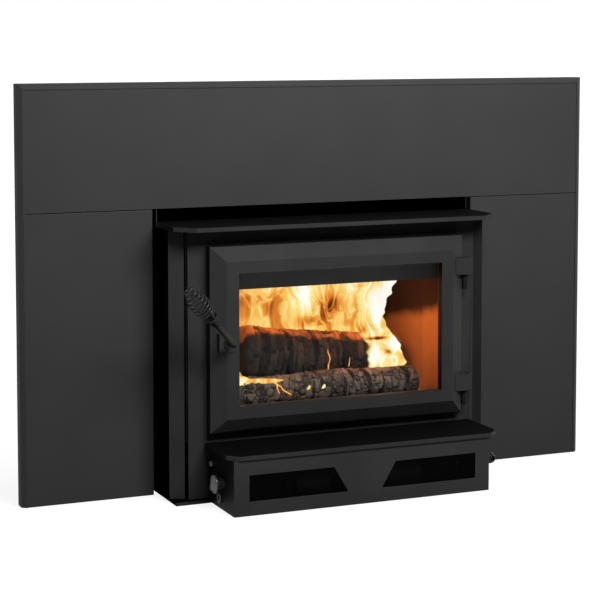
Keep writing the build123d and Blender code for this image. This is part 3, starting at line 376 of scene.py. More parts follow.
def height_band_effect() -> Tree:
    """A darkening that thickens between two heights, which fall or rise towards the back: Mask."""
    def build(graph: Graph, given: Given) -> Sequence[Value]:
        """Warps the height by a noise."""
        place = graph.place()
        _, y, z = graph.split(place)
        height = z + (graph.noise(place, 11.0, 4.0, 0.6) - 0.5) * 0.035 + y * given["Slope"]
        return (graph.span(height, given["Low"], given["High"]),)
    return effect_group("dark_band", {"Low": 0.26, "High": 0.34, "Slope": 0.0}, ("Mask",), build)


def facing_effect() -> Tree:
    """Faces turned away from the front: Up, Down and Side masks."""
    def build(graph: Graph, given: Given) -> Sequence[Value]:
        """Reads the normal."""
        x, _, z = graph.split(graph.normal())
        down = graph.span(z * -1.0, 0.5, 0.7)
        return graph.span(z, given["Start"], 0.96), down, graph.span(abs(x), given["Start"], 0.96)
    return effect_group("facing", {"Start": 0.8}, ("Up", "Down", "Side"), build)


# ---- Finishes ----------------------------------------------------------------------------------

def grey(tone: float) -> Colour:
    """Gives a grey of one tone."""
    return (tone, tone, tone)


def toned(tone: float, colour: Colour) -> Colour:
    """Gives a colour times a tone."""
    return tuple(tone * part for part in colour)


@dataclass(frozen=True)
class Finish:
    """A surface finish that makes its material once."""

    name: str

    def material(self) -> bpy.types.Material:
        """Gives the finish's material.

        Returns:
            The material, made on the first call.
        """
        full_name = self.name + "_finish"
        made = bpy.data.materials.get(full_name)
        if not made:
            made = bpy.data.materials.new(full_name)
            made.use_nodes = True
            graph, nodes = Graph(made.node_tree), made.node_tree.nodes
            shader = nodes["Principled BSDF"]
            for key, value in self.paint(graph).items():
                graph.put(shader, key, value)
            finished = self.surface(graph, Value(graph, shader.outputs[0]))
            graph.put(nodes["Material Output"], "Surface", finished)
        return made

    def paint(self, graph: Graph) -> Inputs:
        """Gives the shader's inputs; each finish has its own."""
        raise NotImplementedError

    def surface(self, graph: Graph, shader: Value) -> Value:
        """Gives the shader as it is; some finishes blend it with another one."""
        return shader


@dataclass(frozen=True)
class StovePaint(Finish):
    """Black paint with a fine grain, as on a powder coat or stove enamel, with painted shade on faces turned
    from the front and a painted highlight on its edges.
    """

    tone: float = 0.02
    roughness: float = 0.46
    grain: float = 900.0
    depth: float = 0.00006
    rub_and_highlight: float = 0.25
    dust: float = 0.15
    shine: float = 0.03
    mottle: float = 0.1
    # painted shade: the share of the tone kept on faces that look up, down and to a side
    turned: tuple[float, float, float] = (0.4, 0.25, 0.3)
    # painted shadow: turned faces in front of this y go nearly black
    shaded_to: float = -1.0

    def paint(self, graph: Graph) -> Inputs:
        """Mixes patches, edges lightened partly by real rubbing and partly as a painted highlight, and dust
        over the black.

        Faces that look up, down or to a side get painted shade, by the shares in turned, and those
        in front of y = shaded_to get painted shadow that is nearly black.

        Args:
            graph: the material's graph.

        Returns:
            The shader's inputs.
        """
        height, patch = graph.effect(grain_effect(), Grain=self.grain, Patch=7.0)
        rubbed_and_lit_edges, = graph.effect(rub_and_highlight_effect(), Reach=0.0012, Break=0.6)
        dusty, = graph.effect(dust_effect(), Amount=self.dust)
        dark, light = self.tone * (1 - self.mottle), self.tone * (1 + self.mottle)
        black = graph.mix(graph.span(patch, 0.35, 0.65), (dark, dark, dark * 1.02),
                          (light, light, light * 1.01))
        # painted shade on turned faces, and painted shadow on those in front of y = shaded_to
        behind = graph.span(graph.split(graph.place())[1], self.shaded_to, self.shaded_to + 0.03)
        for mask, share in zip(graph.effect(facing_effect(), Start=0.8), self.turned):
            black = graph.mix(mask, black, graph.mix(behind, SHADED, grey(self.tone * share)))
        # edges lighten: partly real rubbing, partly a painted highlight
        rubbed_and_highlit = graph.mix(rubbed_and_lit_edges * self.rub_and_highlight, black, grey(self.tone + 0.03))
        return {"Base Color": graph.mix(dusty, rubbed_and_highlit, DUST),
                "Roughness": graph.span(patch, 0.3, 0.7, self.roughness - 0.03, self.roughness + 0.04),
                "Specular IOR Level": self.shine,
                "Normal": graph.bump(height, self.depth, 0.6)}


@dataclass(frozen=True)
class WorkedMetal(Finish):
    """Bare metal with fine drawn lines and a patchy sheen."""

    colour: Colour = (0.5, 0.5, 0.5)
    roughness: float = 0.35
    stain: Colour = (0.25, 0.22, 0.2)

    def paint(self, graph: Graph) -> Inputs:
        """Draws the lines and stains.

        Args:
            graph: the material's graph.

        Returns:
            The shader's inputs.
        """
        place = graph.place()
        drawn = graph.noise(graph.stretched(place, (400.0, 400.0, 30.0)), 1.0, 2.0, 0.6)
        cloud = graph.noise(place, 25.0, 5.0, 0.65)
        return {"Base Color": graph.mix(graph.span(cloud, 0.45, 0.75) * 0.3, self.colour, self.stain),
                "Metallic": 1.0,
                "Roughness": graph.span(drawn + cloud, 0.7, 1.3, self.roughness - 0.07, self.roughness + 0.1),
                "Normal": graph.bump(drawn, 0.00003, 0.5)}


@dataclass(frozen=True)
class TurnedKnob(Finish):
    """A turned knob: a bright faced end with a dark pointer line, and a dark skirt."""

    centre: tuple[float, float] = (-0.149, 0.048)
    pointer: tuple[float, float] = (0.55, 0.83)

    def paint(self, graph: Graph) -> Inputs:
        """Draws the turning marks and the pointer on the end that looks left.

        Args:
            graph: the material's graph.

        Returns:
            The shader's inputs.
        """
        _, y, z = graph.split(graph.place())
        back, rise = y - self.centre[0], z - self.centre[1]
        out = back * self.pointer[0] + rise * self.pointer[1]
        across = back * self.pointer[1] - rise * self.pointer[0]
        line = graph.span(abs(across), 0.0014, 0.0008) * graph.span(out, 0.0, 0.001)
        reach = graph.sum("SQRT", back * back + rise * rise)
        bright = graph.effect(facing_effect(), Start=0.85)[2] * (1.0 - line)
        return {"Base Color": graph.mix(bright, grey(0.02), grey(0.38)),
                "Metallic": bright,
                "Roughness": graph.span(graph.noise(graph.place(), 60.0), 0.3, 0.7, 0.28, 0.4),
                "Normal": graph.bump(graph.sum("SINE", reach * 9000.0), 0.00001, 0.3)}


@dataclass(frozen=True)
class GalvanisedSheet(Finish):
    """Zinc-dipped sheet with its crystal pattern."""

    def paint(self, graph: Graph) -> Inputs:
        """Gives each crystal its own grey.

        Args:
            graph: the material's graph.

        Returns:
            The shader's inputs.
        """
        place = graph.place()
        warped = graph.warped(place, graph.noise(place, 40.0, 2.0, output=1), (0.012, 0.012, 0.012))
        tone = graph.split(graph.cells(warped, 70.0, "Color"))[0]
        return {"Base Color": graph.ramp(tone, ((0.0, (0.34, 0.35, 0.36)), (1.0, (0.58, 0.59, 0.6)))),
                "Metallic": 1.0,
                "Roughness": graph.span(tone, 0.0, 1.0, 0.38, 0.55, False),
                "Normal": graph.bump(tone, 0.00005, 0.4)}


@dataclass(frozen=True)
class ScorchedSteel(Finish):
    """Steel inside the firebox: brown scale, with soot."""

    tone: Colour = (0.05, 0.045, 0.04)

    def paint(self, graph: Graph) -> Inputs:
        """Lays scale and soot on the steel.

        Args:
            graph: the material's graph.

        Returns:
            The shader's inputs.
        """
        height, patch = graph.effect(grain_effect(), Grain=350.0, Patch=18.0)
        banded, = graph.effect(height_band_effect(), Low=0.2, High=0.45)
        scale = graph.mix(graph.span(patch, 0.4, 0.65), self.tone, toned(0.55, self.tone))
        return {"Base Color": graph.mix(banded * 0.5, scale, (0.012, 0.011, 0.01)),
                "Metallic": 0.35,
                "Roughness": graph.span(patch, 0.3, 0.7, 0.55, 0.8),
                "Normal": graph.bump(height, 0.0003, 0.7)}


@dataclass(frozen=True)
class MouldedPlastic(Finish):
    """Moulded black plastic with a fine spark texture."""

    tone: float = 0.02

    def paint(self, graph: Graph) -> Inputs:
        """Adds the spark texture.

        Args:
            graph: the material's graph.

        Returns:
            The shader's inputs.
        """
        height, patch = graph.effect(grain_effect(), Grain=1600.0, Patch=30.0)
        return {"Base Color": graph.mix(patch, grey(self.tone), grey(self.tone * 1.6)),
                "Roughness": graph.span(patch, 0.3, 0.7, 0.4, 0.55),
                "Normal": graph.bump(height, 0.00008, 0.6)}


@dataclass(frozen=True)
class Firebrick(Finish):
    """Pressed refractory brick: grit, pores, a tone of its own for each brick, and a dark band above a height
    that falls towards the back.
    """

    pitch: float = 0.1148
    dark_band: tuple[float, float] = (0.288, 0.316)
    dark_band_slope: float = 0.225

    def paint(self, graph: Graph) -> Inputs:
        """Colours the bricks.

        Args:
            graph: the material's graph.

        Returns:
            The shader's inputs.
        """
        place = graph.place()
        x, y, _ = graph.split(place)
        column, row = (graph.sum("FLOOR", graph.sum("DIVIDE", along, self.pitch)) for along in (x, y + 0.06))
        brick = graph.out("ShaderNodeCombineXYZ", {0: column, 1: row})
        own = graph.out("ShaderNodeTexWhiteNoise", {"Vector": brick})
        grit = graph.noise(place, 420.0, 3.0, 0.7)
        cloud = graph.noise(place, 16.0, 5.0, 0.6)
        pores = graph.cells(place, 260.0)
        clay = graph.mix(own * 0.35, graph.ramp(cloud * 0.8 + 0.5, CLAY), (0.38, 0.21, 0.10))
        gritty = graph.mix(graph.span(grit, 0.55, 0.72), clay, (0.20, 0.13, 0.08))
        # darker above a height that falls towards the back
        banded, = graph.effect(height_band_effect(), Low=self.dark_band[0], High=self.dark_band[1], Slope=self.dark_band_slope)
        return {"Base Color": graph.mix(banded * 0.96, gritty, UPPER_BRICK_DARK),
                "Roughness": graph.span(cloud, 0.3, 0.7, 0.82, 0.95),
                "Specular IOR Level": 0.25,
                "Normal": graph.bump(grit * 0.5 + 0.5 + graph.span(pores, 0.0, 0.25), 0.0006, 0.7)}


@dataclass(frozen=True)
class Fibre(Finish):
    """Pressed or felted mineral fibre, or knitted glass rope."""

    pale: Colour = (0.72, 0.69, 0.62)
    dark: Colour = (0.5, 0.46, 0.4)
    strands: Point = (60.0, 420.0, 420.0)

    def paint(self, graph: Graph) -> Inputs:
        """Lays strands over a mottled ground.

        Args:
            graph: the material's graph.

        Returns:
            The shader's inputs.
        """
        place = graph.place()
        strand = graph.noise(graph.stretched(place, self.strands), 1.0, 4.0, 0.7, 1.5)
        cloud = graph.noise(place, 20.0, 4.0, 0.6)
        return {"Base Color": graph.mix(graph.span(strand + cloud, 0.75, 1.3), self.dark, self.pale),
                "Roughness": graph.span(cloud, 0.3, 0.7, 0.85, 1.0),
                "Sheen Weight": 0.25,
                "Normal": graph.bump(strand, 0.0012, 0.8)}


@dataclass(frozen=True)
class CeramicGlass(Finish):
    """A clear ceramic pane, a little smoked in patches."""

    daylight: float = 0.8

    def paint(self, graph: Graph) -> Inputs:
        """Makes a clear pane with faint smoke.

        Args:
            graph: the material's graph.

        Returns:
            The shader's inputs.
        """
        smoke = graph.span(graph.noise(graph.place(), 9.0, 3.0, 0.6), 0.4, 0.8)
        return {"Base Color": graph.mix(smoke, (1.0, 1.0, 1.0), (0.96, 0.93, 0.88)),
                "Transmission Weight": 1.0,
                "Metallic": 0.0,
                "IOR": 1.07,
                "Roughness": 0.0}

    def surface(self, graph: Graph, shader: Value) -> Value:
        """Lets light and shadows through the pane.

        Args:
            graph: the material's graph.
            shader: the glass.

        Returns:
            The glass, and a plain clear sheet for light that passes.
        """
        clear = graph.out("ShaderNodeBsdfTransparent", {"Color": (*grey(self.daylight), 1.0)})
        return graph.out("ShaderNodeMixShader", {0: graph.rays("Shadow", "Diffuse"), 1: shader, 2: clear})


@dataclass(frozen=True)
class CharredWood(Finish):
    """Burning wood: black char, grey ash on the ridges and embers in the cracks."""

    ash: float = 0.5
    glow: float = 2.5
    tone: float = 1.0

    def paint(self, graph: Graph) -> Inputs:
        """Reads the crack, burn and ridge values that the log's mesh carries; the burn value also holds
        painted firelight on the logs' tops.

        Args:
            graph: the material's graph.

        Returns:
            The shader's inputs.
        """
        place = graph.place()
        crack, heat, ridge = (graph.attribute(name) for name in ("crack", "burning", "ridge"))
        fine = graph.noise(place, 320.0, 4.0, 0.7)
        cloud = graph.noise(place, 45.0, 4.0, 0.6)
        char = graph.ramp(fine, tuple((at, toned(self.tone, colour)) for at, colour in CHAR))
        plate = graph.sum("ADD", graph.span(ridge, 0.25, 0.75), graph.span(cloud, 0.3, 0.7, -0.4, 0.4),
                          limit=True)
        greyed = graph.mix(plate * self.ash, char, toned(self.tone, (0.50, 0.42, 0.34)))
        # painted firelight: a high burn value turns the char orange-brown and makes it glow
        toasted_and_firelit = graph.mix(graph.span(heat, 0.15, 0.8) * 0.8, greyed, (0.42, 0.20, 0.09))
        hot_and_firelit = graph.span(heat, 0.3, 0.8) * graph.span(fine, 0.35, 0.65, 0.4, 1.0)
        lit = graph.span(heat + (cloud - 0.5) * 0.9, 0.6, 1.1)
        ember = lit * graph.span(crack, 0.3, 0.9) + hot_and_firelit * graph.span(crack, 0.1, 0.9, 0.40, 0.03)
        return {"Base Color": graph.mix(crack * 0.93, toasted_and_firelit, (0.004, 0.003, 0.003)),
                "Roughness": graph.span(fine, 0.3, 0.7, 0.65, 0.95),
                "Specular IOR Level": 0.3,
                "Emission Color": graph.ramp(ember, EMBERS),
                "Emission Strength": self.glow,
                "Normal": graph.bump(fine + cloud * 0.7, 0.0012, 0.9)}


@dataclass(frozen=True)
class AshAndEmbers(Finish):
    """Grey ash with embers under it."""

    def paint(self, graph: Graph) -> Inputs:
        """Mixes ash, char crumbs and embers.

        Args:
            graph: the material's graph.

        Returns:
            The shader's inputs.
        """
        place = graph.place()
        fine = graph.noise(place, 240.0, 5.0, 0.75)
        broad = graph.noise(place, 22.0, 4.0, 0.6)
        crumbs = graph.span(graph.cells(place, 130.0), 0.25, 0.4)
        glow = graph.span(broad, 0.52, 0.72) * graph.span(fine, 0.6, 0.42)
        return {"Base Color": graph.mix(crumbs, (0.015, 0.012, 0.01), graph.ramp(fine, ASH)),
                "Emission Color": graph.ramp(glow, DEEP_EMBERS),
                "Emission Strength": 1.6,
                "Roughness": graph.span(fine, 0.3, 0.7, 0.85, 1.0),
                "Normal": graph.bump(fine, 0.002, 0.9)}


@dataclass(frozen=True)
class Flame(Finish):
    """Fire in a sheet: streaks and curls from deep orange to white, ragged at its edges.

    A spot is (x, z, half width, half height, gain), and its gain is below 0 for a cooler place.
    """

    base: float = 0.42
    spots: tuple[tuple[float, float, float, float, float], ...] = ()
    shift: float = 0.0
    edge: float = 0.5
    streak: float = 1.5

    def paint(self, graph: Graph) -> Inputs:
        """Draws the fire from Object coordinates and the sheet's own inside attribute.

        Args:
            graph: the material's graph.

        Returns:
            The shader's inputs.
        """
        place = graph.place()
        move, further = grey(self.shift), grey(self.shift + 3.0)
        bend = graph.noise(graph.stretched(place, (1.0, 1.0, 0.6), move), 15.0, 2.0, output=1)
        warped = graph.warped(place, bend, (0.07, 0.0, 0.06))
        streaks = graph.noise(graph.stretched(warped, (46.0, 8.0, 11.0), move), 1.0, 3.0, 0.6, 0.5)
        curls = graph.noise(graph.stretched(warped, (26.0, 7.0, 11.0), further), 1.0, 2.0, 0.5, 1.3)
        wisp = graph.span(abs(curls - 0.5), 0.06, 0.0)
        ember = graph.span(abs(streaks - 0.56), 0.03, 0.0)
        heat = (streaks - 0.5) * self.streak + self.base + wisp * 0.14 + ember * 0.10
        for x, z, wide, high, gain in self.spots:
            near = graph.stretched(place, (1.0 / wide, 0.0, 1.0 / high), (-x / wide, 0.0, -z / high))
            heat = heat + graph.span(graph.length(near), 1.0, 0.0, 0.0, gain)
        inside = graph.attribute("inside")
        heat = heat + graph.span(inside, 0.0, 0.8, -0.22, 0.0)
        return {"Base Color": (0.0, 0.0, 0.0, 1.0),
                "Roughness": 1.0,
                "Specular IOR Level": 0.0,
                "Emission Color": graph.ramp(heat, FLAMES),
                "Emission Strength": 1.0,
                "Alpha": graph.span(inside + (streaks - 0.5) * 0.9, 0.05, self.edge)}


@dataclass(frozen=True)
class StudioFloor(Finish):
    """A plain pale floor that keeps the object's shadow and turns white further out."""

    near: float = 0.9
    far: float = 1.9
    lift: tuple[float, float] = (0.84, 1.0)

    def paint(self, graph: Graph) -> Inputs:
        """Makes a matt, faintly clouded floor.

        Args:
            graph: the material's graph.

        Returns:
            The shader's inputs.
        """
        return {"Base Color": graph.mix(graph.noise(graph.place(), 3.0), grey(0.29), grey(0.32)),
                "Roughness": 0.9,
                "Specular IOR Level": 0.0}

    def surface(self, graph: Graph, shader: Value) -> Value:
        """Lifts the floor to white where it is seen, reflected or seen through glass.

        Args:
            graph: the material's graph.
            shader: the floor as it is lit.

        Returns:
            The floor, lifted on those rays.
        """
        white = graph.span(graph.length(graph.place()), self.near, self.far, *self.lift)
        glow = graph.out("ShaderNodeEmission", {"Strength": white})
        lifted = graph.out("ShaderNodeAddShader", {0: shader, 1: glow})
        seen = graph.rays("Glossy", "Transmission", "Camera")
        return graph.out("ShaderNodeMixShader", {0: seen, 1: shader, 2: lifted})


# ---- Modelling ---------------------------------------------------------------------------------

def pick(*pieces: Piece) -> None:
    """Selects these pieces alone and makes the last one active."""
    bpy.ops.object.select_all(action="DESELECT")
    for piece in pieces:
        piece.select_set(True)
        bpy.context.view_layer.objects.active = piece


def active(name: str) -> Piece:
    """Names the new active object and gives it."""
    made = bpy.context.object
    made.name = made.data.name = name
    return made


def freeze() -> None:
    """Puts the selected pieces' place, turn and scale in their meshes."""
    bpy.ops.object.transform_apply(location=True, rotation=True, scale=True)


def face_outwards() -> None:
    """Turns the active piece's normals outwards."""
    bpy.ops.object.mode_set(mode="EDIT")
    bpy.ops.mesh.select_all(action="SELECT")
    bpy.ops.mesh.normals_make_consistent(inside=False)
    bpy.ops.object.mode_set(mode="OBJECT")


def add_grid(name: str, columns: int, lines: int, size: float = 1.0,
             place: Point = (0.0, 0.0, 0.0)) -> Piece:
    """Adds a level square grid.

    Args:
        name: its name.
        columns: how many faces it has along X.
        lines: how many faces it has along Y.
        size: its side.
        place: its middle.

    Returns:
        The grid.
    """
    pick()
    bpy.ops.mesh.primitive_grid_add(x_subdivisions=columns, y_subdivisions=lines, size=size, location=place)
    return active(name)


def apply_modifiers(piece: Piece) -> None:
    """Applies all of a piece's modifiers and leaves it active."""
    pick(piece)
    for modifier in list(piece.modifiers):
        bpy.ops.object.modifier_apply(modifier=modifier.name)


def thicken(piece: Piece, thickness: float, offset: float) -> None:
    """Gives a sheet its thickness.

    Args:
        piece: the sheet, which is left active.
        thickness: how thick it gets.
        offset: -1 thickens it behind its normals, 0 on both sides.
    """
    wall = piece.modifiers.new("Solidify", "SOLIDIFY")
    wall.thickness = thickness
    wall.offset = offset
    apply_modifiers(piece)


def carry(piece: Piece, values: dict[str, list[float]]) -> None:
    """Stores named values on a mesh's points."""
    for name, numbers in values.items():
        piece.data.attributes.new(name, "FLOAT", "POINT").data.foreach_set("value", numbers)


def settle(piece: Piece, finish: Finish,
           replaced: Sequence[str] = ()) -> None:
    """Gives a finished piece its finish and lets it ride on the insert.

    Args:
        piece: the piece.
        finish: what it is made of.
        replaced: the CAD nodes it stands for.
    """
    pick(piece)
    freeze()
    piece.data.materials.clear()
    piece.data.materials.append(finish.material())
    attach(piece, "insert")
    if replaced:
        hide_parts(*replaced)
    log.info("piece %s: %d faces", piece.name, len(piece.data.polygons))


def dress(nodes: Sequence[str], finish: Finish, edge: float = 0.0006, segments: int = 2) -> None:
    """Gives CAD nodes their finish and soft edges.

    Args:
        nodes: the nodes' names.
        finish: what they are made of.
        edge: how far their edges are rounded, in metres; 0 leaves them sharp.
        segments: how many faces round an edge.
    """
    for name in nodes:
        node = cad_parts[name]
        for holder in node.material_slots:
            holder.material = finish.material()
        if edge:
            node.modifiers.new("Weld", "WELD").merge_threshold = 0.00001
            soft = node.modifiers.new("Bevel", "BEVEL")
            soft.width = edge
            soft.segments = segments
            soft.limit_method = "ANGLE"
            soft.angle_limit = math.radians(32)
            soft.harden_normals = True
        log.info("node %s: %s", name, finish.name)


# ---- Fire --------------------------------------------------------------------------------------

@dataclass
class CharredLog:
    """A log that lies between two ends, with char plates, cracks and embers.

    An end is (x, y, z, half depth, half height). The block is a char plate's size along and
    across the log. A groove parts two plates, and a check is a finer crack within one. The wander
    holds where the noise that bends the grooves is read for each axis. The cuts split the log's
    side along its length, and each inset is a share of the end's radius with its share of the
    rounding.
    """

    name: str
    left: tuple[float, float, float, float, float]
    right: tuple[float, float, float, float, float]
    heat: Callable[[float, float], float]
    block: tuple[float, float] = (0.0115, 0.024)
    groove: float = 0.0034
    groove_gap: float = 0.13
    check_gap: float = 0.08
    wander: tuple[Point, Point, Point] = ((0.31, -0.77, 0.12), (-0.54, 0.23, 0.88), (0.65, 0.42, -0.36))
    seed: float = 0.0
    around: int = 160
    cuts: tuple[int, int] = (70, 2)
    rounding: float = 0.012
    insets: tuple[tuple[float, float], ...] = (
        (0.05, 0.5), (0.08, 0.28), (0.12, 0.14), (0.2, 0.06), (0.2, 0.02), (0.2, 0.0))
    seams: tuple[tuple[tuple[float, float], ...], ...] = ()
    seam_reach: float = 0.0028

    def build(self) -> Piece:
        """Models the log from a cylinder.

        Returns:
            The log.
        """
        start, end = Vector(self.left[:3]), Vector(self.right[:3])
        length = (end - start).length
        pick()
        bpy.ops.mesh.primitive_cylinder_add(vertices=self.around, radius=1.0, depth=length,
                                            end_fill_type="NGON", location=(0.0, 0.0, 0.0))
        piece = active(self.name)
        bpy.ops.object.mode_set(mode="EDIT")
        bpy.ops.mesh.select_mode(type="EDGE")
        for cuts in self.cuts:
            self.select_long_edges()
            bpy.ops.mesh.subdivide(number_cuts=cuts)
        self.round_end(1)
        self.round_end(-1)
        bpy.ops.object.mode_set(mode="OBJECT")
        self.char(piece, start, end, length)
        pick(piece)
        bpy.ops.object.shade_smooth()
        return piece

    def select_long_edges(self) -> None:
        """Selects the edges along the log."""
        mesh = bmesh.from_edit_mesh(bpy.context.object.data)
        bpy.ops.mesh.select_all(action="DESELECT")
        for edge in mesh.edges:
            low, high = edge.verts
            along = abs(low.co.z - high.co.z)
            edge.select_set(along > 0.9 * edge.calc_length() and along > 1e-6)
        bmesh.update_edit_mesh(bpy.context.object.data)

    def round_end(self, side: int) -> None:
        """Rounds the end on one side, 1 or -1, by insets that step outwards."""
        bpy.ops.mesh.select_all(action="DESELECT")
        bpy.ops.mesh.select_mode(type="FACE")
        for face in bmesh.from_edit_mesh(bpy.context.object.data).faces:
            face.select_set(side * face.normal.z > 0.99 and len(face.verts) > 4)
        bmesh.update_edit_mesh(bpy.context.object.data)
        for share, rise in self.insets:
            bpy.ops.mesh.inset(thickness=share, depth=0.0)
            bpy.ops.transform.translate(value=(0.0, 0.0, side * rise * self.rounding))
        bpy.ops.mesh.poke()
        bpy.ops.mesh.select_mode(type="EDGE")

    def plates(self, place: Vector) -> tuple[float, float, Vector, Vector]:
        """Finds where a point lies among the char plates.

        Args:
            place: the point's place on the log, moved by the seed.

        Returns:
            How far it is in a groove and in a check, from 0 to 1, its place counted in plates, and
            its plate's middle.
        """
        along, across = self.block
        cell = place + Vector([noise.noise(place * 38.0 + Vector(shift)) for shift in self.wander]) * 0.0035
        cell = Vector((cell.x / along, cell.y / across, cell.z / across))
        near, seats = noise.voronoi(cell, distance_metric="CHEBYCHEV")
        groove = max(0.0, 1.0 - (near[1] - near[0]) / self.groove_gap)
        fine = Vector((cell.x * 2.3 + 5.0, cell.y * 1.7, cell.z * 1.7))
        small, _ = noise.voronoi(fine, distance_metric="CHEBYCHEV")
        check = max(0.0, 1.0 - (small[1] - small[0]) / self.check_gap)
        return groove * groove * (3 - 2 * groove), check, cell, seats[0]

    def char(self, piece: Piece, start: Vector, end: Vector, length: float) -> None:
        """Moves each point to its place on the log and carves the char.

        Args:
            piece: the log's object.
            start: the left end's middle.
            end: the right end's middle.
            length: the log's length.
        """
        along = (end - start).normalized()
        back = Vector((-along.y, along.x, 0.0)).normalized()
        up = along.cross(back).normalized()
        if up.z < 0:
            up.negate()
        seed = Vector((self.seed, self.seed, 0.0))
        values: dict[str, list[float]] = {"crack": [], "ridge": [], "burning": []}
        for vertex in piece.data.vertices:
            share = min(max(vertex.co.z / length + 0.5, -0.05), 1.05)
            radial = Vector((vertex.co.x, vertex.co.y))
            size = min(radial.length, 1.0)
            depth, height = (low + (high - low) * share for low, high in zip(self.left[3:], self.right[3:]))
            flat = back * (radial.x * depth) + up * (radial.y * height)
            away = flat.normalized() if flat.length > 1e-6 else along
            place = Vector((vertex.co.z, radial.x * depth, radial.y * height)) + seed
            groove, check, cell, seat = self.plates(place)
            rim = size ** 6
            bow = noise.noise(place * 9.0) * 0.006 + noise.noise(place * 28.0) * 0.0025
            rough = noise.fractal(place * 130.0, 0.8, 2.1, 4) * 0.0012 - check * self.groove * 0.35
            move = (bow - groove * self.groove) * rim + rough - 0.0015
            centre = (start + end) / 2 + along * vertex.co.z
            vertex.co = centre + flat + away * move * (1.0 if size > 0.98 else size)
            lift = (away.z + 1) / 2 if size > 0.5 else 0.5
            glow = self.seam_glow(vertex.co) if away.y < 0.35 else 0.0
            band = noise.noise(Vector((cell.x * 0.9, cell.y * 0.3, cell.z * 0.3)))
            dark = min(1.0, groove + 0.4 * check + max(0.0, min(1.0, (band - 0.22) / 0.15)))
            values["crack"].append(max(glow, dark * rim))
            values["ridge"].append(0.5 + 0.5 * noise.noise(seat * 3.1))
            # besides the burning, the heat holds painted firelight on the log's top
            heat = self.heat(share, lift + 0.05 * noise.noise(place * 45.0))
            values["burning"].append(max(1.5 * glow, heat))
        carry(piece, values)

    def seam_glow(self, point: Vector) -> float:
        """Finds how near a point is to a glowing seam.

        Args:
            point: the point.

        Returns:
            From 0 away from the seams to 1 on one.
        """
        best = 1.0
        flat = Vector((point.x, point.z))
        for seam in self.seams:
            for start, end in zip(seam, seam[1:]):
                first, step = Vector(start), Vector(end) - Vector(start)
                share = min(1.0, max(0.0, (flat - first).dot(step) / step.length_squared))
                best = min(best, (flat - first - step * share).length)
        return max(0.0, 1.0 - best / self.seam_reach)


@dataclass
class FlameSheet:
    """A closed sheet of fire between a ragged left and right edge.

    A row is (z, left x, right x), from the bottom up. The depth is y at the left and the right,
    and a fade is how far the fire thins out at the left, right, bottom and top edge.
    """

    name: str
    rows: tuple[tuple[float, float, float], ...]
    depth: tuple[float, float]
    finish: Flame
    columns: int
    lines: int
    seed: float
    sway: float
    fade: tuple[float, float, float, float]
    ragged: float = 0.004
    thick: float = 0.002

    def row(self, share: float) -> tuple[float, float, float]:
        """Finds the sheet's edges at a share of its height.

        Args:
            share: from 0 at the bottom to 1 at the top.

        Returns:
            z, left x and right x.
        """
        z = self.rows[0][0] + (self.rows[-1][0] - self.rows[0][0]) * share
        for low, high in zip(self.rows, self.rows[1:]):
            if z <= high[0] + 1e-9:
                ease = (z - low[0]) / (high[0] - low[0])
                left, right = (a + (b - a) * ease for a, b in zip(low[1:], high[1:]))
                return z, left, right
        return self.rows[-1]

    def build(self) -> None:
        """Models the sheet from a grid."""
        piece = add_grid(self.name, self.columns, self.lines)
        inside = []
        for vertex in piece.data.vertices:
            across, rise = vertex.co.x + 0.5, vertex.co.y + 0.5
            z, left, right = self.row(rise)
            left += self.ragged * noise.noise(Vector((z * 90.0, self.seed, 1.0)))
            right += self.ragged * noise.noise(Vector((z * 90.0, self.seed, 7.0)))
            x = left + (right - left) * across
            drift = noise.noise(Vector((x * 14.0, self.seed, z * 10.0)))
            ripple = noise.noise(Vector((x * 45.0, self.seed + 2.0, z * 16.0)))
            y = self.depth[0] + (self.depth[1] - self.depth[0]) * across + self.sway * (drift + 0.3 * ripple)
            vertex.co = (x, y, z)
            gaps = (x - left, right - x, z - self.rows[0][0], self.rows[-1][0] - z)
            inside.append(min([1.0] + [max(0.0, gap / fade) for gap, fade in zip(gaps, self.fade) if fade]))
        carry(piece, {"inside": inside})
        thicken(piece, self.thick, 0.0)
        face_outwards()
        bpy.ops.object.shade_smooth()
        piece.visible_diffuse = piece.visible_shadow = False
        settle(piece, self.finish)


def crest_heat_and_firelight(share: float, lift: float) -> float:
    """Gives the leaning log's heat, which is strong towards its right end, with painted firelight on its
    crest.

    Args:
        share: the share of its length.
        lift: from 0 underneath to 1 on top.

    Returns:
        From 0 to 1.
    """
    crest = min(1.0, max(0.0, (lift - 0.88) / 0.06))
    under = max(0.0, (0.12 - lift) / 0.12)
    far = max(0.0, (share - 0.62) / 0.38)
    return min(1.0, 0.75 * crest + 0.3 * under + 0.5 * far)


def ashen_heat_and_top_light(share: float, lift: float) -> float:
    """Gives a lower log's heat at a share of its length and a lift from 0 underneath to 1 on top, with faint
    painted firelight on its top.
    """
    return max(0.0, (lift - 0.85) / 0.15) * 0.3 + max(0.0, 0.22 - share) * 1.8


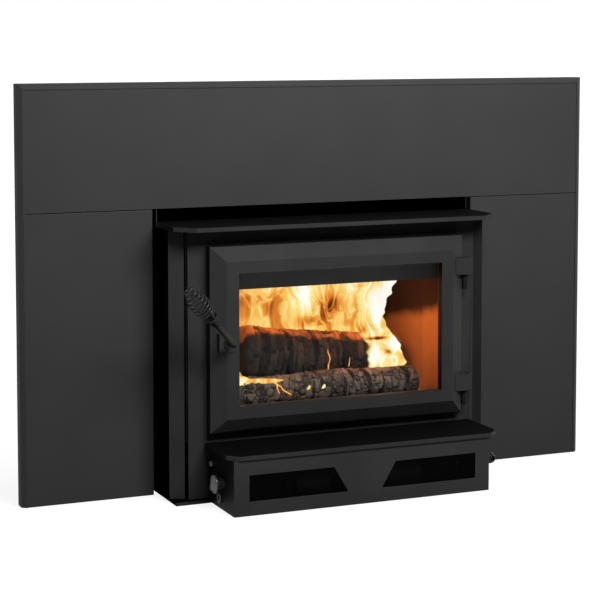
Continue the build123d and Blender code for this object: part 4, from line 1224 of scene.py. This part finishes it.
@dataclass
class Fire:
    """Three burning logs, their flames and the bed of ash."""

    bed_x: tuple[float, float] = (-0.236, 0.236)
    bed_y: tuple[float, float] = (-0.05, 0.285)
    bed_z: float = 0.1378
    bed_depth: float = 0.0055

    def build(self) -> None:
        """Builds the whole fire."""
        self.build_logs()
        self.build_bed()
        self.build_flames()

    def build_logs(self) -> None:
        """Builds the leaning log and the two lower logs."""
        charred = CharredWood("charred_bark", ash=0.5, glow=1.0, tone=0.155)
        ashen = CharredWood("ashen_bark", ash=0.7, glow=1.2, tone=0.6)
        upper = CharredLog("charred_upper_log", (-0.117, 0.078, 0.2280, 0.049, 0.0550),
                           (0.206, 0.122, 0.1850, 0.045, 0.0515), crest_heat_and_firelight, (0.016, 0.070), 0.0048,
                           seed=2.0, rounding=0.014,
                           seams=(((0.0488, 0.2282), (0.0525, 0.2105), (0.0488, 0.1934), (0.0383, 0.1811)),))
        forked = (((-0.0893, 0.1875), (-0.0757, 0.1793), (-0.0678, 0.1702), (-0.0552, 0.1628)),
                  ((-0.0802, 0.1838), (-0.0814, 0.1755), (-0.0779, 0.1668)))
        front = CharredLog("charred_front_log", (-0.185, 0.0256, 0.167, 0.036, 0.029),
                           (0.198, 0.020, 0.1665, 0.034, 0.0285), ashen_heat_and_top_light, seed=7.0, seams=forked)
        rear = CharredLog("charred_rear_log", (-0.170, 0.1148, 0.168, 0.033, 0.030),
                          (0.180, 0.212, 0.166, 0.031, 0.028), ashen_heat_and_top_light, seed=11.0)
        settle(upper.build(), charred, replaced=("upper_log",))
        settle(front.build(), ashen, replaced=("lower_logs",))
        settle(rear.build(), ashen, replaced=("lower_logs",))

    def build_bed(self) -> None:
        """Builds the bed of ash from a grid."""
        piece = add_grid("ash_bed", 150, 110)
        for vertex in piece.data.vertices:
            across, deep = vertex.co.x + 0.5, vertex.co.y + 0.5
            x = self.bed_x[0] + (self.bed_x[1] - self.bed_x[0]) * across
            y = self.bed_y[0] + (self.bed_y[1] - self.bed_y[0]) * deep
            heap = noise.fractal(Vector((x * 14.0, y * 14.0, 4.0)), 0.9, 2.0, 4) * 0.004
            grit = noise.fractal(Vector((x * 120.0, y * 120.0, 9.0)), 0.8, 2.0, 3) * 0.0009
            fade = min(1.0, 6 * min(across, 1 - across, deep, 1 - deep))
            vertex.co = (x, y, self.bed_z + (self.bed_depth + heap + grit) * fade + 0.0004)
        thicken(piece, 0.0003, -1.0)
        bpy.ops.object.shade_smooth()
        settle(piece, AshAndEmbers("ash_and_embers"))

    def build_flames(self) -> None:
        """Builds the flames behind, between and in front of the logs."""
        behind = Flame("flame_behind", base=0.40, spots=(
            (0.052, 0.322, 0.050, 0.055, 0.48), (0.140, 0.335, 0.050, 0.045, 0.42),
            (0.098, 0.295, 0.036, 0.032, -0.30), (0.106, 0.280, 0.032, 0.014, -0.12),
            (-0.012, 0.345, 0.040, 0.030, 0.25), (-0.075, 0.300, 0.055, 0.045, -0.10),
            (-0.120, 0.340, 0.040, 0.040, 0.12), (0.060, 0.268, 0.050, 0.018, -0.30),
            (0.130, 0.285, 0.040, 0.030, 0.05), (-0.100, 0.272, 0.080, 0.014, 0.10)))
        FlameSheet("flames_behind", (
            (0.170, -0.232, 0.196), (0.240, -0.232, 0.190), (0.300, -0.228, 0.176), (0.364, -0.224, 0.186)),
            (0.185, 0.160), behind, 130, 70, 1.0, 0.014, (0.02, 0.012, 0.006, 0.0)).build()
        right = Flame("flame_front", base=0.66, shift=5.0, streak=1.7, spots=(
            (0.150, 0.318, 0.040, 0.050, 0.45), (0.188, 0.232, 0.030, 0.036, 0.40),
            (0.146, 0.212, 0.020, 0.034, 0.30), (0.150, 0.243, 0.036, 0.006, -0.75),
            (0.174, 0.214, 0.012, 0.014, -0.45), (0.160, 0.270, 0.018, 0.022, -0.15),
            (0.118, 0.262, 0.022, 0.020, -0.30)))
        FlameSheet("flames_right", (
            (0.1855, 0.131, 0.208), (0.193, 0.131, 0.213), (0.209, 0.130, 0.2065), (0.234, 0.129, 0.197),
            (0.250, 0.112, 0.184), (0.267, 0.104, 0.170), (0.285, 0.103, 0.166), (0.304, 0.103, 0.1675),
            (0.3215, 0.105, 0.1745), (0.339, 0.106, 0.184), (0.352, 0.108, 0.188)),
            (0.064, 0.060), right, 70, 110, 4.0, 0.004, (0.018, 0.004, 0.003, 0.0), 0.007).build()
        lick = Flame("flame_lick", base=0.58, shift=9.0, streak=1.6, edge=0.6)
        FlameSheet("flame_under_log", (
            (0.1835, -0.165, -0.105), (0.1855, -0.165, -0.076), (0.1895, -0.165, -0.062),
            (0.1925, -0.165, -0.080), (0.1955, -0.165, -0.128), (0.203, -0.165, -0.148),
            (0.220, -0.165, -0.154)),
            (0.004, 0.000), lick, 60, 40, 8.0, 0.001, (0.001, 0.008, 0.003, 0.010), 0.003).build()
        small = Flame("flame_small", base=0.72, shift=13.0, streak=1.2)
        for number, (x, low, wide, tall, y, tilt) in enumerate((
                (-0.028, 0.171, 0.006, 0.009, -0.0165, 0.004), (0.001, 0.1705, 0.0065, 0.009, -0.0165, 0.005),
                (0.0812, 0.196, 0.002, 0.019, 0.040, 0.003)), 1):
            FlameSheet(f"small_flame_{number}", (
                (low, x, x + wide * 0.6), (low + tall * 0.3, x + tilt * 0.2, x + wide + tilt * 0.3),
                (low + tall * 0.7, x + tilt * 0.7, x + wide * 0.8 + tilt * 0.7),
                (low + tall, x + tilt, x + wide * 0.3 + tilt)),
                (y, y), small, 10, 14, 20.0 + number, 0.0004, (0.001, 0.001, 0.001, 0.002), 0.0006,
                0.0008).build()


# ---- The insert's own pieces -------------------------------------------------------------------

@dataclass
class Surround:
    """The three-panel surround with its trims and fixings."""

    edge: float = 0.0014
    tone: float = 0.047

    def build(self) -> None:
        """Dresses the panels, trims, brackets and screws."""
        panel = StovePaint("surround_powder_coat", self.tone, 0.47, 1100.0, dust=0.0, mottle=0.03)
        trim = StovePaint("trim_powder_coat", self.tone, 0.5, 1100.0, dust=0.0, rub_and_highlight=0.08, mottle=0.03,
                          turned=(0.5, 0.3, 0.15))
        dress(("surround_top_panel", "surround_left_panel", "surround_right_panel"), panel, self.edge)
        dress(("surround_trim_top", "surround_trim_left", "surround_trim_right"), trim, 0.0005)
        zinc = WorkedMetal("zinc_plate", (0.46, 0.46, 0.47), 0.36, (0.42, 0.38, 0.28))
        dress(("surround_screws", "blower_screws", "thermal_switch", "latch_nut", "hinge_pins"), zinc, 0.0003)
        # near black: black paint darkened further as painted shade in the gap beside the jacket
        bracket = StovePaint("bracket_black_and_shade", 0.004, dust=0.0, rub_and_highlight=0.05, shine=0.0)
        dress(("surround_brackets",), bracket, 0.0004)


@dataclass
class Jacket:
    """The convection jacket, its base and the front plate."""

    # painted shadow: the jacket's turned faces in front of this y, beside the surround, go nearly black
    shaded_to: float = 0.045

    def build(self) -> None:
        """Dresses the sheets and plates."""
        paint = StovePaint("stove_enamel", 0.036, 0.5, 800.0, dust=0.0, shine=0.0, turned=(0.4, 0.25, 0.6),
                           shaded_to=self.shaded_to)
        # painted shade: the right jacket sheet takes a darker copy of the stove enamel, black on its sides
        right = StovePaint("jacket_right_shaded_enamel", 0.020, 0.5, 800.0, dust=0.0, shine=0.0, turned=(0.4, 0.25, 1.0),
                           shaded_to=self.shaded_to)
        dress(("base_plate", "jacket_left", "front_plate", "firebox_legs", "flue_collar"), paint)
        dress(("jacket_right",), right)
        dress(("firebox_floor", "firebox_top"), paint, 0.0)
        dress(("jacket_back", "jacket_top"), GalvanisedSheet("galvanised_sheet"), 0.0)


@dataclass
class Shelves:
    """The top shelf and the ash shelf."""

    edge: float = 0.0009

    def build(self) -> None:
        """Dresses both shelves."""
        paint = StovePaint("shelf_enamel", 0.034, 0.5, 800.0, rub_and_highlight=0.35, dust=0.0, shine=0.02,
                           turned=(0.08, 0.3, 0.1))
        dress(("top_shelf", "ash_shelf"), paint, self.edge, 3)


@dataclass
class Firebox:
    """The brick-lined box, its baffle and its air tubes."""

    edge: float = 0.0012

    def build(self) -> None:
        """Dresses what is inside the firebox."""
        dress(("side_bricks", "back_bricks", "floor_bricks"), Firebrick("firebrick"), self.edge)
        # painted shade: the firebox walls are far darker than the other scorched steel so the slot beside the
        # jacket stays dark
        wall = ScorchedSteel("scorched_wall_shaded", (0.012, 0.010, 0.008))
        dress(("firebox_side_walls", "firebox_back_wall"), wall, 0.0)
        # painted light: the deflector's light grey stands for light falling on it behind the glass
        dress(("air_wash_deflector",), StovePaint("deflector_lit_enamel", 0.26, 0.55, 600.0))
        dress(("air_tubes", "air_tube_rails"), ScorchedSteel("scorched_tube", (0.14, 0.11, 0.09)), 0.0)
        dress(("baffle_boards",), Fibre("baffle_board"), 0.0)
        dress(("baffle_blanket",), Fibre("mineral_blanket", (0.85, 0.84, 0.8), (0.66, 0.64, 0.6)), 0.0)


@dataclass
class Door:
    """The bevelled door with its pane, gaskets, hinges and latch."""

    edge: float = 0.0011

    def build(self) -> None:
        """Dresses the door's pieces."""
        paint = StovePaint("door_enamel", 0.032, 0.44, 700.0, 0.00008, rub_and_highlight=0.35, dust=0.0, shine=0.05,
                           turned=(0.5, 0.06, 0.12))
        dress(("door_frame", "door_hinge_blocks"), paint, self.edge, 3)
        dress(("hinge_knuckles",), StovePaint("knuckle_enamel", 0.012, 0.5), 0.0008)
        dress(("door_glass",), CeramicGlass("ceramic_glass"), 0.0)
        rope = Fibre("glass_fibre_rope", (0.06, 0.058, 0.055), (0.02, 0.019, 0.018), (300.0, 300.0, 300.0))
        dress(("glass_gasket", "door_gasket"), rope, 0.0)
        steel = ScorchedSteel("scorched_steel", (0.12, 0.1, 0.085))
        dress(("glass_retainers", "glass_screws", "latch_catch", "latch_tongue"), steel, 0.0004)


@dataclass
class Handles:
    """The door handle and the air control's grip, both with wound grips."""

    edge: float = 0.0006

    def build(self) -> None:
        """Dresses the rods and their springs."""
        gloss = StovePaint("handle_enamel", 0.010, 0.25, 500.0, dust=0.0, rub_and_highlight=0.5, shine=0.22,
                           turned=(1.0, 0.5, 0.6))
        dress(("handle_rod", "air_damper_rod"), gloss, self.edge)
        dress(("handle_coil", "air_knob_coil"), gloss, 0.0)


@dataclass
class Blower:
    """The blower box, its grilles, the fans inside and the controls on it.

    The left net spans net_x at its foot, and slants to net_inner at its top. The right one mirrors
    it about the box's middle.
    """

    edge: float = 0.0009
    net_x: tuple[float, float] = (-0.220, -0.0195)
    net_z: tuple[float, float] = (0.019, 0.076)
    net_y: float = -0.1996
    net_inner: float = -0.053
    pitch: float = 0.0024
    wire: float = 0.00036
    middle: float = 0.004
    net_paint: StovePaint = StovePaint("net_enamel", 0.003, 0.55, rub_and_highlight=0.0, dust=0.0, shine=0.02)

    def build(self) -> None:
        """Dresses the box and what it holds, and builds the nets."""
        paint = StovePaint("blower_enamel", 0.038, 0.46, 800.0, dust=0.0, turned=(0.2, 0.25, 0.05))
        dress(("blower_box", "air_box"), paint, self.edge, 3)
        dress(("intake_grilles",), self.net_paint, 0.0)
        # painted shade: the scrolls are darkened for the shade inside the box
        dress(("blower_scrolls",), StovePaint("scroll_shaded_enamel", 0.012, 0.5), 0.0)
        dress(("blower_motor",), StovePaint("motor_enamel", 0.03, 0.4), 0.0008)
        dress(("fan_shaft",), WorkedMetal("ground_steel", (0.6, 0.6, 0.6), 0.25), 0.0003)
        # painted shade: dark fan wheels stand for the shade inside the box
        dress(("fan_wheels",), WorkedMetal("fan_steel_shaded", (0.10, 0.10, 0.105), 0.45), 0.0)
        dress(("speed_knob",), TurnedKnob("turned_knob"))
        dress(("speed_control",), MouldedPlastic("control_plastic"), 0.0005)
        dress(("cord_gland",), MouldedPlastic("gland_plastic", 0.015), 0.0004)
        self.build_nets()

    def build_nets(self) -> None:
        """Builds the two fine wire nets behind the intake openings."""
        low, high = self.net_z
        tall, wide = high - low, self.net_x[1] - self.net_x[0]
        upright = self.wires("intake_net_left", (self.net_x[0], self.net_y, (low + high) / 2), tall, 0.0,
                             (self.pitch, 0.0, 0.0), int(wide / self.pitch))
        level = self.wires("level_wires", (sum(self.net_x) / 2, self.net_y + 0.0004, low), wide, 90.0,
                           (0.0, 0.0, self.pitch), int(tall / self.pitch))
        pick(level, upright)
        bpy.ops.object.join()
        freeze()
        bpy.ops.object.mode_set(mode="EDIT")
        bpy.ops.mesh.select_all(action="SELECT")
        bpy.ops.mesh.bisect(plane_co=(self.net_x[1], self.net_y, low), use_fill=True, clear_outer=True,
                            plane_no=(tall, 0.0, self.net_x[1] - self.net_inner))
        bpy.ops.object.mode_set(mode="OBJECT")
        pick(upright)
        bpy.ops.object.duplicate()
        right = active("intake_net_right")
        for vertex in right.data.vertices:
            vertex.co.x = 2 * self.middle - vertex.co.x
        face_outwards()
        for net in (upright, right):
            settle(net, self.net_paint, ("intake_grilles",))

    def wires(self, name: str, place: Point, length: float, turn: float, step: Point,
              count: int) -> Piece:
        """Builds a row of wires with rounded ends.

        Args:
            name: the row's name.
            place: the first wire's middle.
            length: a wire's length.
            turn: how far the wires are turned about Y, in degrees.
            step: from one wire to the next.
            count: how many wires.

        Returns:
            The row.
        """
        pick()
        bpy.ops.mesh.primitive_cylinder_add(vertices=6, radius=self.wire, depth=length, location=place,
                                            rotation=(0.0, math.radians(turn), 0.0))
        row = active(name)
        freeze()
        soft = row.modifiers.new("Bevel", "BEVEL")
        soft.width = self.wire * 0.4
        soft.angle_limit = math.radians(70)
        repeat = row.modifiers.new("Array", "ARRAY")
        repeat.count = count
        repeat.use_relative_offset = False
        repeat.use_constant_offset = True
        repeat.constant_offset_displace = step
        apply_modifiers(row)
        bpy.ops.object.shade_smooth_by_angle(angle=math.radians(40))
        return row


@dataclass
class Studio:
    """The floor, the lamps and the camera.

    The angles are in degrees, and the lens and shift give the photograph's framing.
    """

    eye: Point = (-1.3603, -3.1107, 0.831)
    yaw: float = 23.0855
    pitch: float = 4.6559
    lens: float = 111.718
    shift: float = -0.2

    def build(self) -> None:
        """Builds the studio."""
        self.build_floor()
        self.build_lamps()
        self.build_world()
        self.build_camera()

    def build_floor(self) -> None:
        """Lays the floor."""
        floor = add_grid("studio_floor", 8, 8, 60.0, (0.0, 10.0, -0.0006))
        freeze()
        floor.data.materials.append(StudioFloor("studio_floor").material())

    def lamp(self, name: str, kind: Lamp, energy: float, place: Point, aim: Point, size: float,
             colour: Colour = (1.0, 1.0, 1.0)) -> Piece:
        """Adds a lamp.

        Args:
            name: the lamp's name.
            kind: the kind of lamp.
            energy: how strong it is.
            place: where it is.
            aim: where it points.
            size: a sun's angle in degrees, or a lamp's size in metres.
            colour: its colour.

        Returns:
            The lamp.
        """
        data = bpy.data.lights.new(name, kind.value)
        data.energy = energy
        data.color = colour
        if kind is Lamp.SUN:
            data.angle = math.radians(size)
        elif kind is Lamp.AREA:
            data.shape = "RECTANGLE"
            data.size = size
            data.size_y = size * 0.5
            data.spread = math.radians(150)
        else:
            data.shadow_soft_size = size
        made = bpy.data.objects.new(name, data)
        bpy.context.scene.collection.objects.link(made)
        made.location = place
        made.rotation_euler = (Vector(aim) - Vector(place)).to_track_quat("-Z", "Y").to_euler()
        made.visible_camera = made.visible_transmission = False
        return made

    def build_lamps(self) -> None:
        """Hangs a broad soft lamp in front and above, two weak ones behind and the fire's light."""
        self.lamp("softbox", Lamp.AREA, 28.5, (0.12, -1.45, 1.5), (0.05, 0.0, 1.0), 1.1)
        for name, side in (("soft_left", -3.0), ("soft_right", 3.0)):
            self.lamp(name, Lamp.SUN, 1.8, (side, 1.6, 1.7), (0.0, 0.0, 0.3), 40.0)
        for name, energy, place in (("fire_light", 0.64, (0.115, 0.025, 0.305)),
                                    ("fire_light_left", 0.35, (-0.08, 0.05, 0.325))):
            fire = self.lamp(name, Lamp.POINT, energy, place, (0.0, 0.0, 0.2), 0.04, AMBER)
            fire.visible_glossy = False

    def build_world(self) -> None:
        """Sets a dim surround that is white where it is seen, reflected or seen through glass."""
        world = bpy.data.worlds.new("studio")
        bpy.context.scene.world = world
        world.use_nodes = True
        graph = Graph(world.node_tree)
        colour = graph.mix(graph.rays("Glossy", "Transmission", "Camera"), grey(0.04), grey(1.0))
        graph.put(world.node_tree.nodes["Background"], "Color", colour)

    def build_camera(self) -> None:
        """Sets up the camera at the photograph's viewpoint."""
        data = bpy.data.cameras.new("camera")
        data.lens = self.lens
        data.shift_y = self.shift
        data.clip_end = 200.0
        camera = bpy.data.objects.new("camera", data)
        bpy.context.scene.collection.objects.link(camera)
        camera.location = self.eye
        camera.rotation_euler = (math.radians(90 - self.pitch), 0.0, math.radians(-self.yaw))
        bpy.context.scene.camera = camera
        bpy.context.scene.view_settings.view_transform = "Standard"


def main() -> None:
    """Dresses the insert, builds the fire and sets up the studio."""
    logging.basicConfig(level=logging.INFO, format="%(message)s")
    for part in (Surround(), Jacket(), Shelves(), Firebox(), Door(), Handles(), Blower(), Fire(), Studio()):
        part.build()


if __name__ == "__main__":
    main()
